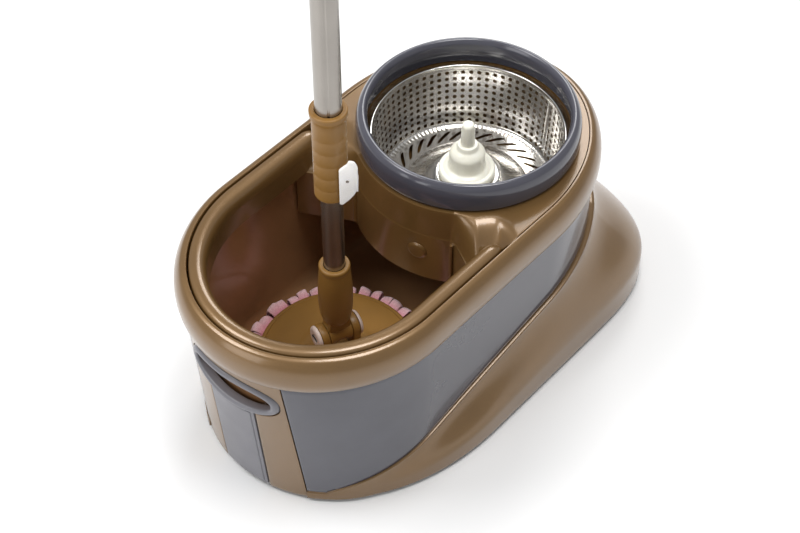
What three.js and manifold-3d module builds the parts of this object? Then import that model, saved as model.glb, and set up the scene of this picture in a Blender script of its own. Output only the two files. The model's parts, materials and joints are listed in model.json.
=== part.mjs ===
// Spin mop set: a wheeled two-zone bucket with a spinning wringer basket, and a
// telescopic press-to-spin mop standing in its washing zone.
// Millimetres, +Z up. The design frame has its origin on the basket's axis at floor
// level, the washing zone and the pull handle towards -Y. The exported group is moved
// so that the part's own origin is the centre of its footprint.
import * as THREE from "three";
import { mergeVertices } from "three/addons/utils/BufferGeometryUtils.js";
import Module from "manifold-3d";

const wasm = await Module();
wasm.setup();

// ---------------------------------------------------------------- driving dimensions
const GAP = 0.4; // between pieces that touch or snap together
const RUN = 0.35; // radial running clearance on faceted pins and bores
const WALL = 2.6; // moulded wall

// Plan of the rim: half an ellipse at each end, straight sides between.
const RIM_HALF = 138; // half width of the bucket at its rim
const FRONT_REACH = 147; // how far the front half ellipse reaches past its centre
const FRONT_CENTRE = -209;
const REAR_REACH = 171.5;
const REAR_CENTRE = -31.5;

// Plan of the base, squarer towards the tail that hides the wheels.
const BASE_HALF = 155;
const BASE_FRONT_REACH = 203;
const BASE_FRONT_CENTRE = -130;
const BASE_FRONT_POWER = 2.15;
const BASE_REAR_REACH = 160;
const BASE_REAR_CENTRE = 20;
const BASE_REAR_POWER = 3.3;

const RIM_TOP = 226.6;
const RIM_FOOT = 186.3; // lower edge of the rim band
const RIM_BULGE = 2; // the bead stands this far outside the rim plan
const RIM_INNER = -11.6; // where the rim band stops at the groove
const GROOVE = 1.4; // dark gap between the rim band and the insert
const SKIN_SET = -4; // outer face of the wall skin at its top, from the rim plan
const SKIN = 2.5; // thickness of the fascia and the side panels
const FRONT_TAPER = 16.5; // how far the skin leans in towards the floor, at the front
const SIDE_TAPER = 5;
const REAR_TAPER = -8;
const FASCIA_TOP_HALF = 57;
const FASCIA_FOOT_HALF = 67;
const SEAM = 0.8; // open joint between neighbouring skins
const SWEEP_SEAM = 1.4; // open joint over the sweep's edge

const SKIRT_FOOT = 4; // the skirt hangs just clear of the floor
const SWEEP_FRONT_Y = -318;
const SWEEP_FRONT_Z = 13;
const SWEEP_REAR_Y = 90;
const SWEEP_REAR_Z = 120;
const SWEEP_POWER = 0.73;
const BAND_TOP = 32; // upright band round the foot of the skirt
const STEP_FRONT = 0.6; // the sweep stands proud of the panel, more so at the rear
const STEP_REAR = 5;

const TUB_SET = -13.4; // outer face of the tub wall, from the rim plan
const TUB_TOP = 205;
const FLANGE_Z = 179; // ledge round the tub that the skins hang on
const PLATE_FOOT = 12; // underside of the base plate
const PLATE_THICK = 3;
const TUB_FOOT = PLATE_FOOT + PLATE_THICK + GAP;
const TUB_FLOOR = TUB_FOOT + 3;

const DECK_TOP = 226; // platform round the basket
const LEDGE = 190; // front edge of the deck and foot of the lip
const SKIRT_DROP = 130; // lower edge of the deck's front wall
const WELL_R = 106.5; // outer radius of the basket's well
const DECK_WALL_R = 116.8; // upright wall of the deck round the well
const LIP_WIDTH = 17.5;
const LIP_TOP = 228;
const LIP_END_Y = -92; // the lip's bead ends here on both sides
const GUSSET_ANGLE = 31; // degrees either side of the front where the gussets begin
const GUSSET_END = 43; // degrees where the gussets' front edge meets the lip
const SLOPE_END = 58; // degrees where the slope has risen to the platform

const RING_R = 112; // splash ring, outside
const RING_BORE = 100.2;
const RING_TOP = 257;
const RING_INSIDE_Z = 242; // the ring is undercut below this height
const BASKET_R = 98.5;
const BASKET_RIM_Z = 228;
const BASKET_FLOOR_Z = 150;
const BASKET_CROWN_Z = 169; // top of the dome that carries the hub
const BASKET_FLOOR_R = 92;
const SHEET = 1.2; // the basket's steel, drawn thicker than rolled sheet
const HUB_BASE_R = 29;
const HUB_TIER_R = 18.5;
const HUB_BASE_TOP = 178;
const HUB_TIER_TOP = 202;
const CENTRE_PIN_R = 7.2;
const CENTRE_PIN_TOP = 237;
const SPINDLE_R = 5;
const WELL_FLOOR = 134;

const WHEEL_R = 27;
const WHEEL_WIDTH = 18;
const WHEEL_X = 108;
const AXLE_Y = 122;
const AXLE_R = 3;
const BRACKET_X = 88;
const FOOT_X = 74;
const FOOT_Y = -262;
const FOOT_R = 12;

const GRIP_HALF = 54.5; // pull handle's ring
const GRIP_HEIGHT = 47;
const GRIP_Z = 153;
const GRIP_BAR = 7.5; // bar of the ring, seen from the front
const GRIP_DEPTH = 11;
const GRIP_PROUD = 3; // the ring stands this far in front of the wall
const TONGUE_TOP_HALF = 28; // plate under the ring
const TONGUE_FOOT_HALF = 28;
const TONGUE_THICK = 4;
const HANDLE_PIN_Z = 10.5;
const HANDLE_PIN_R = 1.8;
const HANDLE_BARREL_R = 3.6;
const LUG_THICK = 3;

const MOP_Y = -199;
const MOP_PLATE_R = 80;
const MOP_PLATE_TOP = 66.5;
const MOP_PLATE_THICK = 8.5;
const PILE_R = 90; // microfibre pile
const KNUCKLE_Z = 99;
const KNUCKLE_R = 12.6;
const KNUCKLE_ANGLE = 69.5; // direction of the knuckle's pin, degrees from +X
const EAR_IN = 12.6;
const EAR_OUT = 20.5;
const SOCKET_FOOT = KNUCKLE_Z + 20;
const SOCKET_TOP = 197;
const LOWER_TUBE_R = 10.4;
const LOWER_TUBE_TOP = 620;
const TUBE_WALL = 0.9;
const UPPER_TUBE_R = LOWER_TUBE_R + 1.9;
const SLEEVE_FOOT = 294;
const SLEEVE_TOP = 399;
const SLEEVE_R = UPPER_TUBE_R + 3.5;
const LEVER_ANGLE = 41; // direction the lever points, degrees from +X
const LEVER_PIVOT_U = UPPER_TUBE_R + 3.2;
const LEVER_PIVOT_Z = SLEEVE_FOOT + 33;
const ROD_HALF = 4; // twisted drive rod, half its width
const ROD_THICK = 3;
const ROD_LEAD = 100; // rise for one turn of the rod
const ROD_FOOT = 330;
const GRIP_TUBE_R = UPPER_TUBE_R + 3.2;
const CAP_TOP = 972;
const UPPER_TUBE_TOP = CAP_TOP - 72;
const ROD_TOP = UPPER_TUBE_TOP - 22;
const GRIP_TUBE_FOOT = CAP_TOP - 212;

const STATIONS = 48; // points round the bucket's plan
const ROUND = 36; // facets of large turned pieces
const SMALL = 16; // facets of small turned pieces

// ---------------------------------------------------------------- geometry helpers
const rad = (degrees) => (degrees * Math.PI) / 180;
const mix = (a, b, t) => a + (b - a) * t;
const clamp01 = (t) => Math.min(1, Math.max(0, t));
const smooth = (t) => t * t * (3 - 2 * t);

// A closed geometry with shared vertices, turned outside out if its faces point in.
function closed(geometry) {
  geometry.deleteAttribute("normal");
  geometry.deleteAttribute("uv");
  const merged = mergeVertices(geometry, 1e-3);
  const p = merged.getAttribute("position");
  const ix = Array.from(merged.index.array);
  const a = new THREE.Vector3();
  const b = new THREE.Vector3();
  const c = new THREE.Vector3();
  const kept = [];
  let volume = 0;
  for (let i = 0; i < ix.length; i += 3) {
    const [u, v, w] = [ix[i], ix[i + 1], ix[i + 2]];
    if (u === v || v === w || w === u) continue;
    a.fromBufferAttribute(p, u);
    b.fromBufferAttribute(p, v);
    c.fromBufferAttribute(p, w);
    volume += a.dot(b.cross(c));
    kept.push(u, v, w);
  }
  if (volume < 0) {
    for (let i = 0; i < kept.length; i += 3) {
      [kept[i + 1], kept[i + 2]] = [kept[i + 2], kept[i + 1]];
    }
  }
  merged.setIndex(kept);
  return merged;
}

function toSolid(geometry) {
  const g = closed(geometry);
  return new wasm.Manifold(
    new wasm.Mesh({
      numProp: 3,
      vertProperties: new Float32Array(g.getAttribute("position").array),
      triVerts: new Uint32Array(g.index.array),
    }),
  );
}

function toGeometry(solid) {
  const m = solid.getMesh();
  const points = new Float32Array(m.numVert * 3);
  for (let i = 0; i < m.numVert; i++) {
    points.set(m.vertProperties.subarray(i * m.numProp, i * m.numProp + 3), i * 3);
  }
  const g = new THREE.BufferGeometry();
  g.setAttribute("position", new THREE.BufferAttribute(points, 3));
  g.setIndex(new THREE.BufferAttribute(new Uint32Array(m.triVerts), 1));
  return g;
}

const join = (...parts) => toGeometry(parts.map(toSolid).reduce((a, b) => a.add(b)));
const cut = (base, ...tools) =>
  toGeometry(tools.map(toSolid).reduce((a, b) => a.subtract(b), toSolid(base)));
const common = (a, b) => toGeometry(toSolid(a).intersect(toSolid(b)));

// A profile of [radius, height] points turned round the Z axis.
function turned(profile, facets = ROUND) {
  const points = profile.map(([r, z]) => new THREE.Vector2(r, z));
  if (profile[0][0] > 0) points.push(points[0].clone());
  return new THREE.LatheGeometry(points, facets).rotateX(Math.PI / 2);
}

const tube = (outer, inner, z0, z1, facets = SMALL) =>
  turned([[inner, z0], [outer, z0], [outer, z1], [inner, z1]], facets);
const rodOf = (r, z0, z1, facets = SMALL) =>
  turned([[0, z0], [r, z0], [r, z1], [0, z1]], facets);
const alongX = (r, x0, x1, facets = SMALL) => rodOf(r, x0, x1, facets).rotateY(Math.PI / 2);
const block = (x0, x1, y0, y1, z0, z1) =>
  new THREE.BoxGeometry(x1 - x0, y1 - y0, z1 - z0).translate(
    (x0 + x1) / 2,
    (y0 + y1) / 2,
    (z0 + z1) / 2,
  );

// An outline of [across, up] points in the X-Z plane, from y0 to y1.
function slab(outline, y0, y1) {
  const shape = new THREE.Shape(outline.map(([x, z]) => new THREE.Vector2(x, z)));
  const depth = y1 - y0;
  const g = new THREE.ExtrudeGeometry(shape, { depth, bevelEnabled: false });
  return g.rotateX(Math.PI / 2).translate(0, y1, 0);
}

// A plan outline of [x, y] points, from z0 to z1.
function plate(outline, z0, z1) {
  const shape = new THREE.Shape(outline.map(([x, y]) => new THREE.Vector2(x, y)));
  const g = new THREE.ExtrudeGeometry(shape, { depth: z1 - z0, bevelEnabled: false });
  return g.translate(0, 0, z0);
}

// Sections with the same number of points, joined one to the next. The last joins the
// first, or both ends are capped with the triangles of the section's flat outline.
function lofted(sections, flat = null) {
  const count = sections[0].length;
  const points = sections.flat(2);
  const index = [];
  const last = flat ? sections.length - 1 : sections.length;
  for (let i = 0; i < last; i++) {
    const next = (i + 1) % sections.length;
    for (let j = 0; j < count; j++) {
      const k = (j + 1) % count;
      const a = i * count + j;
      const b = i * count + k;
      const c = next * count + j;
      const d = next * count + k;
      index.push(a, b, d, a, d, c);
    }
  }
  if (flat) {
    const faces = THREE.ShapeUtils.triangulateShape(
      flat.map(([u, z]) => new THREE.Vector2(u, z)),
      [],
    );
    const ccw = THREE.ShapeUtils.area(flat.map(([u, z]) => new THREE.Vector2(u, z))) > 0;
    const start = (sections.length - 1) * count;
    for (const [a, b, c] of faces) {
      const [p, q] = ccw ? [c, b] : [b, c];
      index.push(a, p, q);
      index.push(start + a, start + q, start + p);
    }
  }
  const g = new THREE.BufferGeometry();
  g.setAttribute("position", new THREE.Float32BufferAttribute(points, 3));
  g.setIndex(index);
  return g;
}

// ---------------------------------------------------------------- the bucket's plan
// Points round the rim plan, anticlockwise from the front, each with its outward normal.
function rimPath(stations = STATIONS) {
  const ends = Math.round(stations * 0.4);
  const sides = Math.round(stations * 0.1);
  const path = [];
  const add = (x, y, nx, ny) => {
    const n = Math.hypot(nx, ny);
    path.push({ x, y, nx: nx / n, ny: ny / n });
  };
  const arc = (centre, reach, from, to, steps) => {
    for (let i = 0; i < steps; i++) {
      const a = mix(from, to, i / steps);
      const x = Math.sin(a);
      const y = -Math.cos(a);
      add(RIM_HALF * x, centre + reach * y, x / RIM_HALF, y / reach);
    }
  };
  const side = (x, from, to) => {
    for (let i = 0; i < sides; i++) add(x, mix(from, to, i / sides), x, 0);
  };
  arc(FRONT_CENTRE, FRONT_REACH, 0, Math.PI / 2, ends / 2);
  side(RIM_HALF, FRONT_CENTRE, REAR_CENTRE);
  arc(REAR_CENTRE, REAR_REACH, Math.PI / 2, 1.5 * Math.PI, ends);
  side(-RIM_HALF, REAR_CENTRE, FRONT_CENTRE);
  arc(FRONT_CENTRE, FRONT_REACH, 1.5 * Math.PI, 2 * Math.PI, ends / 2);
  return path;
}

const out = (p, u, z) => [p.x + p.nx * u, p.y + p.ny * u, z];

// A ring round the bucket whose section may change along it.
const ringed = (section) => lofted(rimPath().map((p) => section(p).map(([u, z]) => out(p, u, z))));

// Where the outer face of the wall skin stands at height z, from the rim plan.
function skinAt(p, z) {
  const taper = p.ny < 0
    ? mix(SIDE_TAPER, FRONT_TAPER, p.ny * p.ny)
    : mix(SIDE_TAPER, REAR_TAPER, p.ny * p.ny);
  return SKIN_SET - (taper * (RIM_FOOT - z)) / RIM_FOOT;
}

// Outer face of the tub wall at height z, from the rim plan.
function tubAt(p, z) {
  const taper = p.ny < 0 ? mix(SIDE_TAPER, FRONT_TAPER, p.ny * p.ny) : SIDE_TAPER;
  return TUB_SET - (taper * (TUB_TOP - z)) / RIM_FOOT;
}

function insideBase(x, y, inset) {
  const front = y < BASE_FRONT_CENTRE;
  const rear = y > BASE_REAR_CENTRE;
  const reach = (front ? BASE_FRONT_REACH : BASE_REAR_REACH) - inset;
  const centre = front ? BASE_FRONT_CENTRE : BASE_REAR_CENTRE;
  const power = front ? BASE_FRONT_POWER : BASE_REAR_POWER;
  const across = Math.abs(x) / (BASE_HALF - inset);
  if (!front && !rear) return across < 1;
  return across ** power + (Math.abs(y - centre) / reach) ** power < 1;
}

// How far the base plan stands out from the rim plan along a station's normal.
function baseOut(p, inset = 0) {
  let low = -60;
  let high = 120;
  for (let i = 0; i < 40; i++) {
    const mid = (low + high) / 2;
    if (insideBase(p.x + p.nx * mid, p.y + p.ny * mid, inset)) low = mid;
    else high = mid;
  }
  return low;
}

// Height of the sweep's upper edge along the bucket's side.
function sweepTop(y) {
  const t = clamp01((y - SWEEP_FRONT_Y) / (SWEEP_REAR_Y - SWEEP_FRONT_Y));
  return SWEEP_FRONT_Z + (SWEEP_REAR_Z - SWEEP_FRONT_Z) * t ** SWEEP_POWER;
}

function fasciaWedge(grow, y0, y1) {
  const outline = [
    [-FASCIA_FOOT_HALF - grow, 0],
    [FASCIA_FOOT_HALF + grow, 0],
    [FASCIA_TOP_HALF + grow, RIM_TOP],
    [-FASCIA_TOP_HALF - grow, RIM_TOP],
  ];
  return slab(outline, y0, y1);
}

// Everything above the sweep's edge, raised by a clearance.
function aboveSweep(clearance) {
  const outline = [[-500, RIM_TOP]];
  const steps = 20;
  for (let i = 0; i <= steps; i++) {
    const y = mix(SWEEP_FRONT_Y, SWEEP_REAR_Y, (i / steps) ** 1.5);
    outline.push([y, sweepTop(y) + clearance]);
  }
  outline.splice(1, 0, [-500, SWEEP_FRONT_Z + clearance]);
  outline.push([400, SWEEP_REAR_Z + clearance], [400, RIM_TOP]);
  return slab(outline, -300, 300).rotateZ(Math.PI / 2);
}

const wallRing = () =>
  ringed((p) => [
    [skinAt(p, SKIRT_FOOT), SKIRT_FOOT],
    [skinAt(p, RIM_FOOT), RIM_FOOT - GAP],
    [skinAt(p, RIM_FOOT) - SKIN, RIM_FOOT - GAP],
    [skinAt(p, SKIRT_FOOT) - SKIN, SKIRT_FOOT],
  ]);

// ---------------------------------------------------------------- bucket pieces
function bucketTub() {
  const flange = (p) => skinAt(p, FLANGE_Z) - SKIN - GAP;
  const wall = ringed((p) => [
    [tubAt(p, TUB_FOOT), TUB_FOOT],
    [tubAt(p, FLANGE_Z - 3), FLANGE_Z - 3],
    [flange(p), FLANGE_Z],
    [flange(p), FLANGE_Z + 3],
    [tubAt(p, FLANGE_Z + 3), FLANGE_Z + 3],
    [tubAt(p, TUB_TOP), TUB_TOP],
    [tubAt(p, TUB_TOP) - WALL, TUB_TOP],
    [tubAt(p, TUB_FLOOR) - WALL, TUB_FLOOR],
    [tubAt(p, TUB_FOOT) - WALL, TUB_FOOT],
  ]);
  const floor = rimPath().map((p) => out(p, tubAt(p, TUB_FLOOR) - 1, 0).slice(0, 2));
  return join(wall, plate(floor, TUB_FOOT, TUB_FLOOR));
}

function rimBand() {
  const b = RIM_BULGE;
  const tubFace = TUB_SET + GAP;
  return ringed(() => [
    [SKIN_SET, RIM_FOOT],
    [b - 1.4, RIM_FOOT + 6],
    [b, RIM_FOOT + 17],
    [b - 1, RIM_FOOT + 27],
    [b - 5, RIM_TOP - 4.4],
    [b - 11, RIM_TOP],
    [RIM_INNER, RIM_TOP - 1],
    [RIM_INNER, TUB_TOP + 3],
    [tubFace, TUB_TOP + 3],
    [tubFace, TUB_TOP],
    [RIM_INNER + WALL, TUB_TOP],
    [RIM_INNER + WALL, RIM_TOP - 3.8],
    [b - 6.8, RIM_TOP - 7],
    [b - 2.8, RIM_FOOT + 17],
    [SKIN_SET - SKIN, RIM_FOOT + 4],
    [SKIN_SET - SKIN, RIM_FOOT],
  ]);
}

// The upright face and the oval recess that the pull handle lies in.
function handleOpenings(grow) {
  const oval = [];
  for (let i = 0; i < 32; i++) {
    const a = (i / 32) * 2 * Math.PI;
    const x = Math.sign(Math.cos(a)) * Math.abs(Math.cos(a)) ** 0.8;
    const z = Math.sign(Math.sin(a)) * Math.abs(Math.sin(a)) ** 0.8;
    oval.push([(GRIP_HALF + grow) * x, GRIP_Z + (GRIP_HEIGHT / 2 + grow) * z]);
  }
  const tongue = [
    [-TONGUE_FOOT_HALF - grow, 0],
    [TONGUE_FOOT_HALF + grow, 0],
    [TONGUE_TOP_HALF + grow, GRIP_Z],
    [-TONGUE_TOP_HALF - grow, GRIP_Z],
  ];
  return [slab(oval, -480, -250), slab(tongue, -480, -250)];
}

function frontFascia() {
  const full = common(wallRing(), fasciaWedge(-SEAM / 2, -480, -200));
  return cut(full, ...handleOpenings(1.2));
}

const rearFascia = () =>
  common(
    common(wallRing(), fasciaWedge(-SEAM / 2, 20, 400)),
    aboveSweep(SWEEP_SEAM),
  );

function sidePanel(sign) {
  const half = sign > 0 ? block(0, 400, -500, 500, -10, 400) : block(-400, 0, -500, 500, -10, 400);
  const skins = cut(
    common(common(wallRing(), half), aboveSweep(SWEEP_SEAM)),
    fasciaWedge(SEAM / 2, -480, -200),
    fasciaWedge(SEAM / 2, 20, 400),
  );
  return skins;
}

// One moulding round both sides and the tail: a sweep that rises towards the rear and
// flares out into an upright band.
function baseSkirt() {
  const steps = 5;
  const section = (p) => {
    const top = sweepTop(p.y);
    const rise = clamp01((top - SWEEP_FRONT_Z) / (SWEEP_REAR_Z - SWEEP_FRONT_Z));
    const band = Math.min(BAND_TOP, mix(SKIRT_FOOT + 4, BAND_TOP + 8, rise));
    const u0 = skinAt(p, top) + mix(STEP_FRONT, STEP_REAR, rise);
    const u1 = Math.max(baseOut(p), u0 + 0.5);
    const outer = [];
    for (let i = 0; i <= steps; i++) {
      outer.push([mix(u0, u1, smooth(i / steps)), mix(top, band, i / steps)]);
    }
    const inner = outer.map(([u, z]) => [u - WALL, z]).reverse();
    inner[inner.length - 1][0] = skinAt(p, top) - SKIN;
    return [...outer, [u1, SKIRT_FOOT], [u1 - WALL, SKIRT_FOOT], ...inner];
  };
  return cut(ringed(section), fasciaWedge(SEAM / 2, -480, -200));
}

function wheelCuts(grow) {
  return [-1, 1].map((s) =>
    block(
      s * WHEEL_X - WHEEL_WIDTH / 2 - grow,
      s * WHEEL_X + WHEEL_WIDTH / 2 + grow,
      AXLE_Y - WHEEL_R - grow,
      AXLE_Y + WHEEL_R + grow,
      0,
      60,
    ),
  );
}

function basePlate() {
  const inset = WALL + GAP;
  const limit = (p) => Math.min(baseOut(p) - inset, skinAt(p, PLATE_FOOT) - SKIN - GAP);
  const edge = rimPath().map((p) => {
    const u = p.ny < -0.8 ? limit(p) : baseOut(p) - inset;
    return out(p, u, 0).slice(0, 2);
  });
  const board = plate(edge, PLATE_FOOT, PLATE_FOOT + PLATE_THICK);
  const pinY = wallY(HANDLE_PIN_Z) + HANDLE_PIN_IN;
  const half = TONGUE_FOOT_HALF + 1.4;
  const lugs = [-1, 1].map((s) => {
    const [x0, x1] = [s * half, s * (half + LUG_THICK)].sort((a, b) => a - b);
    return block(x0, x1, pinY - 1.9, pinY + 6, HANDLE_PIN_Z - 4, PLATE_FOOT + PLATE_THICK);
  });
  const notch = block(-half, half, pinY - 30, pinY + 8, 0, 30);
  const bore = alongX(HANDLE_PIN_R + RUN, -80, 80).translate(0, pinY, HANDLE_PIN_Z);
  return cut(join(board, ...lugs), notch, bore, ...wheelCuts(6));
}

function axleBracket(sign) {
  const x = sign * BRACKET_X;
  const foot = PLATE_FOOT + PLATE_THICK + GAP;
  const body = block(x - 4, x + 4, AXLE_Y - 12, AXLE_Y + 12, foot, WHEEL_R + 10);
  return cut(body, alongX(AXLE_R + RUN, -200, 200).translate(0, AXLE_Y, WHEEL_R));
}

function stubAxle(sign) {
  const [x0, x1] = [sign * (BRACKET_X - 8), sign * (WHEEL_X + 13.6)].sort((a, b) => a - b);
  return alongX(AXLE_R, x0, x1).translate(0, AXLE_Y, WHEEL_R);
}

function axleCap(sign) {
  const start = WHEEL_WIDTH / 2 + 1;
  const cap = turned([
    [0, start + 4.6],
    [6, start + 4.6],
    [8, start + 3],
    [8, start],
    [AXLE_R + RUN, start],
    [AXLE_R + RUN, start + 4.2],
    [0, start + 4.2],
  ], SMALL);
  return cap.rotateY((sign * Math.PI) / 2).translate(sign * WHEEL_X, AXLE_Y, WHEEL_R);
}

function wheelHub(sign) {
  const half = WHEEL_WIDTH / 2;
  const hub = turned([
    [AXLE_R + RUN, -half],
    [9, -half],
    [9, -half + 4],
    [WHEEL_R - 7, -half + 4],
    [WHEEL_R - 7, -half + 1],
    [WHEEL_R - 4.4, -half + 1],
    [WHEEL_R - 4.4, half - 1],
    [WHEEL_R - 7, half - 1],
    [WHEEL_R - 7, half - 4],
    [9, half - 4],
    [9, half],
    [AXLE_R + RUN, half],
  ], 18);
  return hub.rotateY(Math.PI / 2).translate(sign * WHEEL_X, AXLE_Y, WHEEL_R);
}

function tyre(sign) {
  const half = WHEEL_WIDTH / 2 - 1;
  const inner = WHEEL_R - 4.4 + 0.3;
  const ring = turned(
    [[inner, -half], [WHEEL_R - 1.2, -half], [WHEEL_R, -half + 2], [WHEEL_R, half - 2], [WHEEL_R - 1.2, half], [inner, half]],
    28,
  );
  return ring.rotateY(Math.PI / 2).translate(sign * WHEEL_X, AXLE_Y, WHEEL_R);
}

const rubberFoot = (sign) =>
  turned([[0, 0], [FOOT_R - 1, 0], [FOOT_R, 1], [FOOT_R - 1.5, PLATE_FOOT - GAP], [0, PLATE_FOOT - GAP]], 24)
    .translate(sign * FOOT_X, FOOT_Y, 0);

// ---------------------------------------------------------------- deck and well
// The insert's outer edge in direction a (degrees from the front), from the basket axis.
function deckEdge(a) {
  const side = Math.abs(a);
  if (side < GUSSET_ANGLE) return DECK_WALL_R;
  const dx = Math.sin(rad(side));
  const dy = -Math.cos(rad(side));
  const inset = tubAt({ ny: 0 }, SKIRT_DROP) - WALL - 2 * GAP;
  const reachOf = (u) => {
    let low = 60;
    let high = 420;
    for (let i = 0; i < 40; i++) {
      const mid = (low + high) / 2;
      if (insideRim(dx * mid, dy * mid, u)) low = mid;
      else high = mid;
    }
    return low;
  };
  if (side < GUSSET_END) {
    const t = (side - GUSSET_ANGLE) / (GUSSET_END - GUSSET_ANGLE);
    return mix(DECK_WALL_R, reachOf(inset), t ** 2.2);
  }
  const raised = smooth(clamp01((side - 52) / 4));
  return reachOf(mix(inset, RIM_INNER - GROOVE, raised));
}

function insideRim(x, y, u) {
  const front = y < FRONT_CENTRE;
  const rear = y > REAR_CENTRE;
  const across = Math.abs(x) / (RIM_HALF + u);
  if (!front && !rear) return across < 1;
  const reach = (front ? FRONT_REACH : REAR_REACH) + u;
  const centre = front ? FRONT_CENTRE : REAR_CENTRE;
  return across ** 2 + ((y - centre) / reach) ** 2 < 1;
}

// Platform round the basket with a smooth fall to the ledge on each side of it.
function deckPlatform() {
  const angles = [GUSSET_ANGLE, 33, 37, 40, GUSSET_END, 46, 49, 52, 54, 56, SLOPE_END, 62];
  for (let a = 68; a < 180; a += 8) angles.push(a);
  const all = [...angles.map((a) => -a), ...angles, -24, -16, -8, 0, 8, 16, 24, 180];
  const web = TUB_TOP + 3 + GAP;
  const inner = WELL_R + GAP;
  const sections = all.sort((p, q) => p - q).map((a) => {
    const side = Math.abs(a);
    const edge = deckEdge(a);
    const open = side <= GUSSET_END;
    const risen = smooth(clamp01((side - GUSSET_END) / (SLOPE_END - GUSSET_END)));
    const low = mix(LEDGE, DECK_TOP, risen);
    const foot = open ? SKIRT_DROP : Math.min(low - WALL - 0.5, Math.max(low - 6, web));
    const top = [0, 0.3, 0.6, 1].map((s) => [
      mix(DECK_WALL_R - 0.8, edge, s),
      mix(DECK_TOP, low, smooth(s)),
    ]);
    const under = top.slice(0, 3).reverse().map(([r, z]) => [r - WALL, z - WALL]);
    const outline = [
      [inner, DECK_TOP],
      ...top,
      [edge, foot],
      [edge - WALL, foot],
      [edge - WALL, low - WALL],
      ...under,
      [inner, DECK_TOP - WALL],
    ];
    const s = Math.sin(rad(a));
    const c = -Math.cos(rad(a));
    return outline.map(([r, z]) => [r * s, r * c, z]);
  });
  return lofted(sections);
}

// Rounded lip of the insert, from one end of the deck round the front to the other.
function deckLip() {
  const u0 = RIM_INNER - GROOVE;
  const u1 = u0 - LIP_WIDTH;
  const profile = [
    [u0, TUB_TOP + 3],
    [u0, LIP_TOP - 4],
    [u0 - 3, LIP_TOP - 0.8],
    [u0 - 8, LIP_TOP],
    [u0 - 13, LIP_TOP - 2.4],
    [u1 + 1, LIP_TOP - 9],
    [u1, LIP_TOP - 18],
    [u1, LEDGE],
    [u1 + WALL, LEDGE],
    [u1 + WALL, LIP_TOP - 14],
    [u0 - 5.2, TUB_TOP + 7],
    [u0 - 5.2, TUB_TOP + 3],
  ];
  const path = rimPath().filter((p) => p.y < LIP_END_Y);
  const right = path.filter((p) => p.x >= 0).sort((p, q) => p.y - q.y);
  const left = path.filter((p) => p.x < 0).sort((p, q) => q.y - p.y);
  const run = [...left, ...right];
  return lofted(run.map((p) => profile.map(([u, z]) => out(p, u, z))), profile);
}

const deckCover = () => join(deckPlatform(), deckLip());

function basketWell() {
  const cup = turned([
    [SPINDLE_R + RUN, WELL_FLOOR],
    [WELL_R - 6, WELL_FLOOR],
    [WELL_R, WELL_FLOOR + 6],
    [WELL_R, DECK_TOP - 1],
    [WELL_R - WALL, DECK_TOP - 1],
    [WELL_R - WALL, WELL_FLOOR + 7],
    [WELL_R - 7, WELL_FLOOR + WALL],
    [16, WELL_FLOOR + WALL],
    [14, WELL_FLOOR + 12],
    [SPINDLE_R + RUN, WELL_FLOOR + 12],
  ]);
  const drains = [];
  for (let i = 0; i < 8; i++) {
    const slot = block(40, 96, -5, 5, WELL_FLOOR - 5, WELL_FLOOR + 5);
    drains.push(slot.rotateZ((i * Math.PI) / 4 + Math.PI / 8));
  }
  return cut(cup, ...drains);
}

const splashRing = () =>
  turned([
    [RING_BORE + 5, DECK_TOP + GAP],
    [RING_R - 1.6, DECK_TOP + GAP],
    [RING_R, DECK_TOP + 8],
    [RING_R, RING_TOP - 12],
    [RING_R - 2, RING_TOP - 4.5],
    [RING_R - 5.4, RING_TOP],
    [RING_BORE + 2.2, RING_TOP - 0.6],
    [RING_BORE, RING_TOP - 5],
    [RING_BORE, RING_INSIDE_Z],
    [RING_BORE + 5, RING_INSIDE_Z - 4],
  ], 44);

// ---------------------------------------------------------------- spinning basket
function basketShell() {
  const t = SHEET;
  const f = BASKET_FLOOR_Z;
  const crown = BASKET_CROWN_Z;
  return turned([
    [HUB_TIER_R - 4, crown],
    [HUB_BASE_R + 4, crown],
    [44, mix(f, crown, 0.66)],
    [58, f + 2.2],
    [64, f - 2.4],
    [BASKET_FLOOR_R - 4, f - 2.4],
    [BASKET_FLOOR_R - 1.4, f - 1],
    [BASKET_R - 1.6 * t, BASKET_RIM_Z - 3],
    [BASKET_R, BASKET_RIM_Z - 2],
    [BASKET_R, BASKET_RIM_Z],
    [BASKET_R - 2.6 * t, BASKET_RIM_Z],
    [BASKET_R - 2.7 * t, BASKET_RIM_Z - 3],
    [BASKET_FLOOR_R - 1.2 - t, f],
    [BASKET_FLOOR_R - 4.8, f - 2.4 + t],
    [64.3, f - 2.4 + t],
    [58.5, f + 2 + t],
    [44.4, mix(f, crown, 0.66) + t],
    [HUB_BASE_R + 4.3, crown + t],
    [HUB_TIER_R - 4, crown + t],
  ]);
}

function basketHub() {
  const seat = BASKET_CROWN_Z + SHEET + GAP;
  return turned([
    [10.6, seat],
    [HUB_BASE_R, seat],
    [HUB_BASE_R, HUB_BASE_TOP - 4],
    [HUB_BASE_R - 3, HUB_BASE_TOP],
    [HUB_TIER_R + 1.5, HUB_BASE_TOP + 1.5],
    [HUB_TIER_R, HUB_BASE_TOP + 5],
    [HUB_TIER_R, HUB_TIER_TOP - 4],
    [HUB_TIER_R - 4, HUB_TIER_TOP],
    [CENTRE_PIN_R + 2.8, HUB_TIER_TOP + 8],
    [CENTRE_PIN_R - 2, HUB_TIER_TOP + 8],
    [CENTRE_PIN_R - 2, HUB_TIER_TOP - 4],
    [10.6, HUB_TIER_TOP - 4],
  ], 24);
}

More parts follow.
